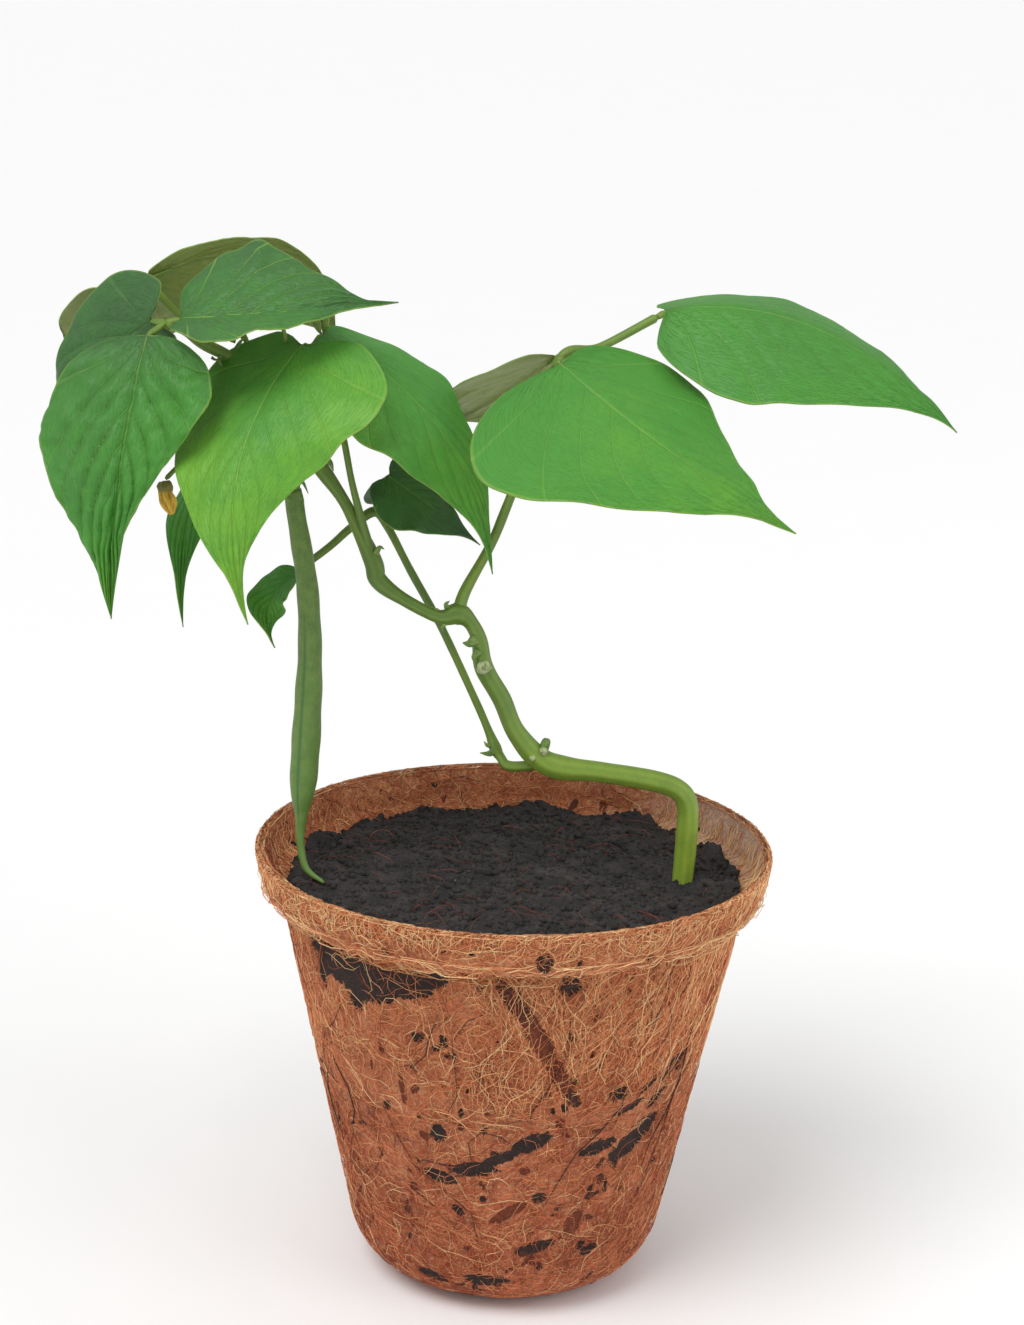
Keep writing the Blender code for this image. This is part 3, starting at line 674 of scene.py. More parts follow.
def turned_shell(profile, columns):
    """A profile of radius and height carried round Z, with a centre point closing each end."""
    angle = full_turn(columns)
    radius, height = profile[:, :1], profile[:, 1:]
    ring = np.stack(np.broadcast_arrays(radius * np.sin(angle), -radius * np.cos(angle), height), -1)
    points = np.vstack([ring.reshape(-1, 3), (0, 0, profile[0, 1]), (0, 0, profile[-1, 1])])
    here = np.arange(columns)
    beside = (here + 1) % columns
    last = (len(profile) - 1) * columns
    first_fan = np.stack([np.full(columns, len(points) - 2), beside, here], -1)
    last_fan = np.stack([np.full(columns, len(points) - 1), here + last, beside + last], -1)
    return points, grid_quads(len(profile), columns, closed=True), np.vstack([first_fan, last_fan])


def pressed(points, stain):
    """Lumps of 9 and 2.5 mm pushed along the radius, bark sunk in, and a wavy, frayed lip."""
    radius = np.hypot(points[:, 0], points[:, 1])
    outward = np.stack([points[:, 0], points[:, 1], np.zeros(len(points))], -1)
    outward = outward / np.maximum(radius, 1e-6)[:, None]
    lumps = 0.45 * noise(points, 9 * MM, 3) + 0.22 * noise(points, 2.5 * MM, 5) - 0.5
    depth = (lumps - 0.6 * stain) * MM * np.clip(radius / (20 * MM), 0, 1)
    outer = np.arange(len(points)) >= LIP_ROW * WALL_COLUMNS
    pushed = points + outward * (depth * np.where(outer, 1, -0.4))[:, None]
    on_lip = np.clip((points[:, 2] - (POT_HEIGHT - LIP_DEPTH)) / LIP_DEPTH, 0, 1)
    pushed[:, 2] -= on_lip * (0.45 + 0.45 * rough(points * (1, 1, 0), 4 * MM, 3, 8)) * MM
    pushed[:, 2] = np.maximum(pushed[:, 2], 0.0)
    return pushed


def ash_at(points):
    """A painted pale sheen on the inner wall at the right: 1 at its middle angle and fading over its
    spread, both in degrees.
    """
    angle = np.degrees(np.arctan2(points[:, 0], -points[:, 1]))
    inner = np.arange(len(points)) < LIP_ROW * WALL_COLUMNS
    return inner * np.exp(-(((angle - SHEEN_TURN) / SHEEN_SPREAD) ** 2))


wall_points, wall_quads, wall_ends = turned_shell(PROFILE, WALL_COLUMNS)
wall_stain, wall_dark = stain_at(wall_points, WALL_PATCHES)
pot_wall = new_piece("pot_wall", pressed(wall_points, wall_stain), wall_quads, wall_ends,
                     COIR_FELT, replaces=["coir_pot"])
# The mask of the painted sheen is stored with the bark stains.
paint(pot_wall, stain=wall_stain, stain_dark=wall_dark, ash=ash_at(wall_points))
print("pot_wall faces:", len(pot_wall.data.polygons))

# %% [markdown]
# ### Strands
#
# A strand starts somewhere on the pot's surface with a heading, and its heading bends and
# wavers as it goes. Its place is the running sum of its steps, both along the profile and round
# the pot, so that it stays on the surface over the collar and into the cup. Its ends dip into
# the felt and its middle rides above it. Many are made at once with whole arrays.

# %% Strand maker
STRAND_POINTS = 6
CROSSING_SHARE = 0.12
SUNK_DEPTH = 2.0 * MM
PROFILE_RUN = np.concatenate([[0], np.cumsum(np.linalg.norm(np.diff(PROFILE, axis=0), axis=1))])


def on_profile(run):
    """Radius, height, and outward normal (radial, upward) at a distance along the profile."""
    radius = np.interp(run, PROFILE_RUN, PROFILE[:, 0])
    height = np.interp(run, PROFILE_RUN, PROFILE[:, 1])
    slope = unit(np.gradient(PROFILE, axis=0))
    normal_r = np.interp(run, PROFILE_RUN, -slope[:, 1])
    normal_z = np.interp(run, PROFILE_RUN, slope[:, 0])
    return radius, height, normal_r, normal_z


def run_at(height, outside=True):
    """Distance along the profile where its outer (or inner) side has a height."""
    part = slice(LIP_ROW, None) if outside else slice(0, LIP_ROW)
    nearest = int(np.argmin(abs(PROFILE[part, 1] - height)))
    return PROFILE_RUN[part][nearest]


def strands(name, count, span, length, thickness, heading, spread, bend, lift, tone,
            around=(-180, 180), bare=0.55):
    """Thin closed strands over part of the pot.

    heading is the mean direction (0 round the pot, 90 up and down) and spread its scatter.
    bend is how far the heading turns from end to end. All angles are in degrees. Where the
    stain is above `bare`, a strand sinks into the wall, so that the patch shows.
    """
    t = np.linspace(-0.5, 0.5, STRAND_POINTS)[None, :]
    reach = RANDOM.uniform(*length, (count, 1)) * MM
    course = np.radians(RANDOM.normal(heading, spread, (count, 1)))
    course = course + np.radians(RANDOM.normal(0, bend, (count, 1))) * t
    course = course + 0.5 * np.sin(2 * math.pi * (t + RANDOM.uniform(0, 1, (count, 1))))
    step = reach / (STRAND_POINTS - 1)
    run = RANDOM.uniform(*span, (count, 1)) + np.cumsum(-np.sin(course) * step, axis=1)
    run = np.clip(run, *span)
    radius, height, normal_r, normal_z = on_profile(run)
    turn = np.radians(RANDOM.uniform(*around, (count, 1)))
    turn = turn + np.cumsum(np.cos(course) * step / radius, axis=1)
    thick = RANDOM.uniform(*thickness, (count, 1)) * MM * (1 - 0.5 * (2 * t) ** 4)
    rise_by = RANDOM.uniform(0, 1, (count, 1)) ** 2 * lift * MM
    proud = 0.1 * MM + rise_by * (1 - (2 * t) ** 2) - 0.25 * MM * (2 * t) ** 6
    normal = np.stack([normal_r * np.sin(turn), -normal_r * np.cos(turn), normal_z], -1)
    centre = np.stack([radius * np.sin(turn), -radius * np.cos(turn), height], -1)
    paths = centre + normal * proud[..., None]
    stain = stain_at(paths.reshape(-1, 3), WALL_PATCHES)[0].reshape(count, STRAND_POINTS)
    sunk = (stain > bare) & (RANDOM.uniform(0, 1, (count, 1)) > CROSSING_SHARE)
    paths = paths - normal * np.where(sunk, SUNK_DEPTH, 0.0)[..., None]
    shade = np.clip(RANDOM.normal(tone, 0.28, (count, 1, 1)), -0.5, 1)
    points, quads, ends = tubes(paths, thick, normal, 3)
    reach_out = np.hypot(points[:, 0], points[:, 1])
    held = np.minimum(1.0, RIM_RADIUS / np.maximum(reach_out, 1e-6))
    points[:, :2] *= held[:, None]
    points[:, 2] = np.clip(points[:, 2], 0.0, POT_HEIGHT)
    piece = new_piece(name, points, quads, ends, COIR_STRAND)
    paint(piece, tone=np.broadcast_to(shade, (len(paths), STRAND_POINTS, 3)))
    print(name, len(paths), "strands,", 2 * len(quads) + len(ends), "triangles")


def coir_strand():
    """A strand's colour runs from root brown through rust and tan to straw by its stored tone."""
    made, tree, shader, place = new_material("coir_strand")
    tone = stored(tree, "tone")
    tone = sway(tree, tone, noise_value(tree, place, 900.0, detail=2.0), 0.5)
    colour = rgb(0.045, 0.020, 0.016)
    for low, high, next_colour in ((-0.45, 0.0, rgb(0.34, 0.066, 0.028)),
                                   (0.0, 0.5, rgb(0.74, 0.260, 0.105)),
                                   (0.5, 1.0, rgb(0.96, 0.66, 0.33))):
        colour = blend_colours(tree, rise(tree, tone, low, high), colour, next_colour)
    set_surface(tree, shader, colour, 0.62, 0.35)
    return made


COIR_STRAND = coir_strand()
print("finish:", COIR_STRAND.name)

# %% Strands over the pot
FOOT_RUN, COLLAR_RUN = run_at(6 * MM), run_at(COLLAR_FOOT - 1 * MM)
MIDDLE_RUN = run_at(62 * MM)
LIP_RUN = PROFILE_RUN[LIP_ROW]
INNER_RUN = run_at(COLLAR_FOOT - 4 * MM, outside=False)
LIP_BAND = (LIP_RUN - 1.3 * MM, LIP_RUN + 1.3 * MM)
FRAY_BAND = (run_at(COLLAR_FOOT + 3 * MM), run_at(COLLAR_FOOT - 4 * MM))
COLLAR_BAND = (LIP_RUN, run_at(COLLAR_FOOT + 1 * MM))

# Each kind: its count and band; length and thickness in mm; mean heading, its spread and the
# bend in degrees; how high its middle rises in mm; its tone; and where it is kept to.
STRAND_KINDS = {
    "low_strands": (5900, (MIDDLE_RUN, FOOT_RUN), (5, 15), (0.045, 0.095), 20, 60, 130, 0.25, 0.28,
                    dict(bare=0.5)),
    "body_strands": (5900, (COLLAR_RUN, MIDDLE_RUN), (6, 20), (0.05, 0.105), 60, 55, 120, 0.35,
                     0.45, dict(bare=0.5)),
    "right_strands": (1300, (COLLAR_RUN, MIDDLE_RUN), (12, 30), (0.06, 0.13), 85, 22, 60, 0.5, 0.6,
                      dict(around=(-5, 80), bare=0.5)),
    "straw_strands": (380, (COLLAR_RUN, FOOT_RUN), (8, 24), (0.05, 0.09), 50, 60, 160, 0.5, 0.95,
                      dict(bare=0.5)),
    "root_strands": (80, (COLLAR_RUN, FOOT_RUN), (22, 60), (0.16, 0.30), 75, 25, 80, 0.3, -0.3,
                     dict(bare=0.9)),
    "collar_strands": (3800, COLLAR_BAND, (6, 16), (0.07, 0.13), 75, 38, 90, 0.5, 0.68, {}),
    "inner_strands": (2400, (INNER_RUN, LIP_RUN), (5, 15), (0.07, 0.13), 40, 50, 90, 0.3, 0.46,
                      dict(around=(140, 435))),
    # These pale strands on the inner wall at the right carry the painted sheen there too.
    "ash_strands": (500, (INNER_RUN, LIP_RUN), (4, 10), (0.06, 0.11), 88, 14, 40, 0.2, 0.85,
                    dict(around=(75, 140))),
    "lip_strands": (800, LIP_BAND, (8, 22), (0.06, 0.12), 0, 12, 25, 0.3, 0.6, {}),
    "frayed_strands": (620, FRAY_BAND, (8, 26), (0.07, 0.14), 10, 32, 190, 1.5, 0.85, {}),
}
for kind, (*numbers, limits) in STRAND_KINDS.items():
    strands(kind, *numbers, **limits)

# %% [markdown]
# ## Compost
#
# The compost is a dark, loose mix. Its surface is a low dome with bumps in several sizes, and
# at its edge it creeps unevenly up the ledge. A flat disc with a bump map would show a clean
# edge, so the bumps are real, and a few thousand loose crumbs and thin reddish roots lie on top.

# %% Compost finish
def compost_finish():
    """Nearly black brown, a little lighter on the crumbs' tops, with rare pale specks."""
    made, tree, shader, place = new_material("compost")
    value = grain_of(tree, place, 160.0)
    colour = blend_colours(tree, rise(tree, value, 0.4, 0.7),
                           rgb(0.026, 0.023, 0.023), rgb(0.060, 0.051, 0.050))
    cell = node(tree, "ShaderNodeTexVoronoi", {"Vector": place, "Scale": 260.0})
    pale = rise(tree, cell.outputs["Distance"], 0.10, 0.05)
    rare = rise(tree, noise_value(tree, place, 230.0, 1.0), 0.68, 0.74)
    speck = maths(tree, "MULTIPLY", pale, rare)
    colour = blend_colours(tree, speck, colour, rgb(0.30, 0.20, 0.14))
    set_surface(tree, shader, colour, 0.88, 0.3)
    add_bump(tree, shader, value, 0.0006)
    return made


COMPOST = compost_finish()

# %% Compost surface
SOIL_EDGE = POT_HEIGHT - 11.0 * MM
SOIL_DOME = 3.0 * MM
SOIL_RADIUS = cup_radius(SOIL_EDGE) - WALL - 0.3 * MM
EDGE_CREEP = 1.5 * MM
EDGE_RISE = 3.6 * MM
SOIL_ROWS, SOIL_COLUMNS = 130, 420
SOIL_SIDE = (107.0 * MM, 30.0 * MM)
SOIL_TOP_FROM = 107.5 * MM


def soil_level(x, y):
    """Height of the compost: a parabola, highest in the middle."""
    return SOIL_EDGE + SOIL_DOME * (1 - (x * x + y * y) / SOIL_RADIUS**2)


def crumbled(points):
    """Bumps of four sizes, and near the edge tongues of compost that creep up the ledge."""
    flat = points * (1, 1, 0)
    edge = np.clip((np.linalg.norm(flat, axis=-1) / SOIL_RADIUS - 0.93) / 0.05, 0, 1)
    tongues = EDGE_RISE * edge * np.clip(noise(flat, 8 * MM, 15) + 0.5 * noise(flat, 3 * MM, 16), 0, 1)
    bumps = (0.9 * noise(flat, 14 * MM, 11) + 0.8 * noise(flat, 5 * MM, 12)
             + 0.5 * np.abs(noise(flat, 2.4 * MM, 13)) + 0.4 * noise(flat, 1.1 * MM, 14))
    return bumps * MM + tongues


def compost_profile():
    """From the middle of the surface to its edge, then down beside the wall to the floor."""
    share = np.linspace(0.01, 1, SOIL_ROWS)
    radius = (SOIL_RADIUS + EDGE_CREEP) * share
    dome = np.stack([radius, soil_level(radius, 0)], -1)
    room = WALL + 0.6 * MM
    side = line(*((cup_radius(z) - room, z) for z in SOIL_SIDE), 6)
    return np.vstack([dome, side, (26.0 * MM, 6.0 * MM), (3.0 * MM, 5.0 * MM)])


soil_points, soil_quads, soil_ends = turned_shell(compost_profile(), SOIL_COLUMNS)
on_top = soil_points[:, 2] > SOIL_TOP_FROM
soil_points[:, 2] += np.where(on_top, crumbled(soil_points), 0.0)
compost = new_piece("compost", soil_points, soil_quads, soil_ends, COMPOST,
                    replaces=["potting_soil"])
print("compost faces:", len(compost.data.polygons))

# %% Crumbs and roots on the compost
GOLD = (1 + math.sqrt(5)) / 2
CRUMB_COUNT = 4200
ROOT_COUNT = 110


def crumb_shape():
    """The twelve corners and twenty faces of an icosahedron of radius one."""
    ring = [(0, a, b * GOLD) for a in (-1, 1) for b in (-1, 1)]
    corners = np.array([p[s:] + p[:s] for s in range(3) for p in ring], float)
    gaps = np.linalg.norm(corners[:, None] - corners[None], axis=2)
    near = (gaps > 0.1) & (gaps < 2.1)
    faces = [(i, j, k) for i in range(12) for j in range(i + 1, 12) for k in range(j + 1, 12)
             if near[i, j] and near[j, k] and near[i, k]]
    faces = [f if np.linalg.det(corners[list(f)]) > 0 else f[::-1] for f in faces]
    return unit(corners), np.array(faces)


def scatter(count, reach):
    """Random places spread evenly over a disc: the radius is the root of a random share."""
    radius = reach * np.sqrt(RANDOM.uniform(0, 1, count))
    turn = RANDOM.uniform(0, 2 * math.pi, count)
    return radius * np.sin(turn), -radius * np.cos(turn)


def soil_crumbs():
    """Icosahedra with every corner pushed in or out at random, half sunk in the surface."""
    corners, faces = crumb_shape()
    x, y = scatter(CRUMB_COUNT, SOIL_RADIUS + 1.5 * MM)
    place = np.stack([x, y, soil_level(x, y)], -1)
    place[:, 2] += crumbled(place) + 0.1 * MM
    size = (0.2 + 1.0 * RANDOM.uniform(0, 1, CRUMB_COUNT) ** 3) * MM
    bumpy = RANDOM.uniform(0.65, 1.25, (CRUMB_COUNT, 12, 1)) * corners
    stretched = bumpy * RANDOM.uniform(0.7, 1.3, (CRUMB_COUNT, 1, 3))
    points = place[:, None, :] + size[:, None, None] * stretched
    triangles = faces[None] + (np.arange(CRUMB_COUNT) * 12)[:, None, None]
    new_piece("crumbs", points.reshape(-1, 3), [], triangles.reshape(-1, 3), COMPOST)


def soil_roots():
    """Thin reddish roots: short arcs that lie on the compost and lift a little."""
    t = np.linspace(-0.5, 0.5, STRAND_POINTS)[None, :]
    x, y = scatter(ROOT_COUNT, SOIL_RADIUS - 3 * MM)
    course = RANDOM.uniform(0, 2 * math.pi, (ROOT_COUNT, 1))
    course = course + RANDOM.normal(0, 1.2, (ROOT_COUNT, 1)) * t
    step = RANDOM.uniform(3, 11, (ROOT_COUNT, 1)) * MM / (STRAND_POINTS - 1)
    x = x[:, None] + np.cumsum(np.cos(course) * step, axis=1)
    y = y[:, None] + np.cumsum(np.sin(course) * step, axis=1)
    paths = np.stack([x, y, soil_level(x, y)], -1)
    lift = 0.8 + RANDOM.uniform(0, 1.4, (ROOT_COUNT, 1)) * (1 - (2 * t) ** 2)
    paths[..., 2] += crumbled(paths) * 0.6 + lift * MM
    thick = RANDOM.uniform(0.035, 0.075, (ROOT_COUNT, 1)) * MM * np.ones_like(t)
    points, quads, ends = tubes(paths, thick, np.array((0.0, 0.0, 1.0)), 3)
    piece = new_piece("fine_roots", points, quads, ends, COIR_STRAND)
    tone = np.clip(RANDOM.normal(-0.08, 0.14, (ROOT_COUNT, 1, 1)), -0.5, 1)
    paint(piece, tone=np.broadcast_to(tone, (ROOT_COUNT, STRAND_POINTS, 3)))


soil_crumbs()
soil_roots()
print("crumbs:", CRUMB_COUNT, "roots:", ROOT_COUNT)

# %% [markdown]
# ## Where the plant stands
#
# The plant's own points are millimetres from the place where its stem leaves the compost. They
# are the same places that the working model uses, so each fine piece lies on its plain one. Some
# leaves' outlines and the stem's thickness are drawn a little closer to life.

# %% Plant places
STEM_X = SOIL_RADIUS - 13.9 * MM
PLANT_FOOT = np.array((STEM_X, 0.0, soil_level(STEM_X, 0.0)))
STEM_RADIUS = 2.9 * MM
STALK_RADIUS = 1.1 * MM
POD_RADIUS = 3.7 * MM


def plant_rows(knots, radius):
    """Rows of x, y, z and relative thickness as world places with a radius."""
    rows = np.array(knots, float)
    rows[:, :3] = PLANT_FOOT + rows[:, :3] * MM
    rows[:, 3] *= radius
    return rows


# Way of the main stem: x, y, z, thickness over STEM_RADIUS.
MAIN_STEM = (
    (0.0, 0.0, -8.0, 0.9), (0.0, 0.0, 0.0, 1.0), (0.5, 0.0, 11.0, 0.98), (0.4, 0.0, 21.5, 1.02),
    (-2.6, 0.0, 26.0, 1.02), (-9.5, 0.0, 28.3, 0.98), (-23.0, -1.0, 30.6, 0.97),
    (-37.5, 0.0, 32.2, 1.14), (-46.0, 1.0, 40.0, 0.94), (-50.5, 2.0, 49.5, 0.88),
    (-55.4, 2.0, 58.0, 0.90), (-56.8, 2.0, 65.5, 0.76), (-59.3, 2.0, 70.5, 0.70),
    (-62.6, 1.0, 73.0, 1.02), (-67.5, 0.0, 72.3, 0.66), (-76.5, 0.0, 76.5, 0.60),
    (-83.8, 1.0, 81.5, 0.80), (-85.6, 2.0, 87.0, 0.84), (-92.7, 3.0, 101.3, 0.55),
    (-100.2, 4.0, 111.8, 0.74), (-110.0, 5.0, 125.5, 0.52), (-120.0, 6.0, 137.8, 0.50),
)

# Each stalk: where it leaves the main stem, then its way, with thickness over STALK_RADIUS.
STALKS = {
    "lower_petiole": (
        (-37.5, 0.0, 32.2, 1.3), (-47.6, 4.5, 29.8, 1.35), (-50.4, 7.0, 31.5, 1.2),
        (-51.9, 8.0, 33.8, 1.5), (-53.9, 9.0, 38.4, 1.0), (-57.6, 10.0, 46.5, 0.95),
        (-67.5, 11.0, 67.0, 0.95), (-75.9, 12.0, 81.8, 0.95), (-82.0, 13.0, 93.0, 1.0),
        (-85.8, 14.0, 97.2, 1.3), (-92.3, 15.0, 92.2, 1.0), (-97.6, 15.5, 87.1, 0.95),
        (-104.2, 16.0, 81.6, 0.9)),
    "right_petiole": (
        (-62.6, 1.0, 73.0, 1.65), (-60.8, 3.0, 79.0, 1.4), (-54.5, 4.0, 91.2, 1.15),
        (-50.8, 5.0, 100.6, 1.15), (-42.3, 3.0, 125.4, 1.15), (-37.1, 1.0, 142.5, 1.3),
        (-27.3, 6.0, 144.5, 1.0), (-12.6, 10.0, 152.1, 1.1)),
    "centre_petiole": (
        (-85.6, 2.0, 87.0, 1.3), (-90.7, 0.0, 106.6, 0.85), (-93.8, 0.0, 121.5, 0.8),
        (-98.6, 1.0, 135.8, 0.8), (-102.5, 0.0, 142.6, 1.0)),
    "left_petiole": (
        (-120.0, 6.0, 137.8, 1.2), (-129.4, 1.0, 143.0, 1.3), (-134.1, -2.0, 147.3, 1.3),
        (-139.0, -4.0, 149.5, 1.4)),
    "top_petiole": (
        (-120.0, 6.0, 137.8, 1.0), (-126.2, 12.0, 139.9, 0.9), (-130.9, 14.0, 142.1, 0.85),
        (-138.3, 17.0, 148.3, 0.85), (-145.6, 17.0, 155.2, 1.1), (-152.0, 18.0, 156.9, 0.8),
        (-156.5, 20.0, 154.9, 0.9)),
    "growing_tip": (
        (-120.0, 6.0, 137.8, 0.8), (-119.2, 6.6, 142.8, 0.6), (-120.9, 6.2, 146.0, 0.9),
        (-122.0, 6.0, 149.4, 0.25)),
    "side_shoot": (
        (-100.2, 4.0, 111.8, 0.8), (-99.0, 7.5, 124.0, 0.6), (-98.6, 8.0, 138.0, 0.6),
        (-98.8, 7.5, 145.5, 0.7), (-99.2, 7.0, 152.0, 1.4)),
    "bud_stalk": (
        (-110.0, 5.0, 125.5, 0.6), (-108.4, 2.0, 131.0, 0.5), (-108.2, 0.0, 138.0, 0.5),
        (-108.8, -0.5, 146.8, 0.5), (-110.6, 0.0, 150.8, 0.5), (-112.5, 0.5, 154.0, 1.3),
        (-113.4, 0.5, 155.6, 0.4)),
    "flower_stalk": (
        (-110.0, 5.0, 125.5, 0.6), (-115.0, -1.0, 123.5, 0.5), (-125.0, -5.5, 119.5, 0.5),
        (-134.0, -7.0, 114.0, 0.5), (-138.9, -7.0, 109.2, 0.6)),
    "pod_stalk": (
        (-100.2, 4.0, 111.8, 1.0), (-104.6, 3.6, 112.6, 0.8), (-107.2, 2.6, 109.6, 0.9),
        (-106.9, 2.1, 106.0, 1.7)),
}
print("plant foot:", (PLANT_FOOT / MM).round(1), "stalks:", len(STALKS))

# %% [markdown]
# ## Stems and stalks
#
# A bean stem is ribbed, a little translucent, and swells where leaves join it. A curve with a
# round bevel gives a plain pipe. A ring carried along the path can be ribbed instead: its
# radius is scaled by 1 + depth * cos(ribs * angle), and soft noise makes it uneven.

# %% Stem finish
def stem_finish():
    """Yellow-green at the foot, olive higher up, paler along the ribs, with a few rusty flecks."""
    made, tree, shader, place = new_material("green_stem")
    rib = stored(tree, "rib")
    old = blend_colours(tree, rib, rgb(0.085, 0.165, 0.030), rgb(0.125, 0.215, 0.038))
    fresh = blend_colours(tree, rib, rgb(0.26, 0.40, 0.036), rgb(0.33, 0.47, 0.052))
    green = blend_colours(tree, stored(tree, "youth"), old, fresh)
    mottle = grain_of(tree, place, 240.0)
    green = tint(tree, green, rise(tree, mottle, 0.42, 0.66), 0.22, rgb(0.085, 0.16, 0.035))
    fleck = rise(tree, noise_value(tree, place, 520.0, 2.0), 0.70, 0.76)
    green = tint(tree, green, fleck, 0.45, rgb(0.16, 0.075, 0.03))
    set_surface(tree, shader, green, 0.48, 0.4)
    low_rib = maths(tree, "MULTIPLY", rib, 0.3)
    add_bump(tree, shader, maths(tree, "ADD", mottle, low_rib), 0.00018)
    return made


GREEN_STEM = stem_finish()
print("finish:", GREEN_STEM.name)

# %% Stems
TOWARD_VIEWER = np.array((0.0, -1.0, 0.0))
STEM_STEP = 0.9 * MM
RIB_DEPTH = 0.018
RIB_TURN = 1.3


def tube_along(rows, sides, section):
    """One tube along rows of x, y, z and radius, whose ring angle 0 is toward the viewer."""
    return tubes(rows[None, :, :3], rows[None, :, 3], TOWARD_VIEWER, sides, section)


def ribbed(rows, ribs):
    """A section that scales the radius by 1 + RIB_DEPTH * cos(ribs * angle + slow turn)."""
    turn = np.linspace(0, RIB_TURN, rows)[:, None]
    return lambda angle: 1 + RIB_DEPTH * np.cos(ribs * angle[None, :] + turn)


def add_stem(name, knots, radius, sides, ribs, youth, replaces=()):
    """A ribbed stem along its knots, with noise of a twentieth of its radius and a blunt end."""
    rows = smooth_curve(plant_rows(knots, radius), STEM_STEP)
    rows[:, 3] *= 1 + 0.05 * noise(rows[:, :3], 6 * MM, 31)
    rows[-1, 3] *= 0.6
    section = ribbed(len(rows), ribs)
    points, quads, ends = tube_along(rows, sides, section)
    piece = new_piece(name, points, quads, ends, GREEN_STEM, replaces)
    uneven = 0.25 * noise(points, 1.5 * MM, 5).reshape(-1, sides)
    rib = 0.5 + (section(full_turn(sides)) - 1) / (2 * RIB_DEPTH) + uneven
    paint(piece, rib=np.clip(rib, 0, 1), youth=np.clip(youth(points), 0, 1))
    print(name, len(rows), "rings")


def stem_youth(points):
    """1 at the compost, falling to 0.15 where the stem is 50 mm above it, with soft patches."""
    height = (points[:, 2] - PLANT_FOOT[2]) / MM
    return 0.15 + 0.85 * np.clip(1 - height / 50, 0, 1) + 0.15 * noise(points, 16 * MM, 9)


def stalk_youth(points):
    """Mostly olive, with fresher patches."""
    return 0.22 + 0.25 * noise(points, 14 * MM, 6)


add_stem("stem", MAIN_STEM, STEM_RADIUS, 28, 7, stem_youth, replaces=["main_stem"])
for stalk_name, stalk_knots in STALKS.items():
    add_stem(f"{stalk_name}_fine", stalk_knots, STALK_RADIUS, 16, 4, stalk_youth,
             replaces=[stalk_name])
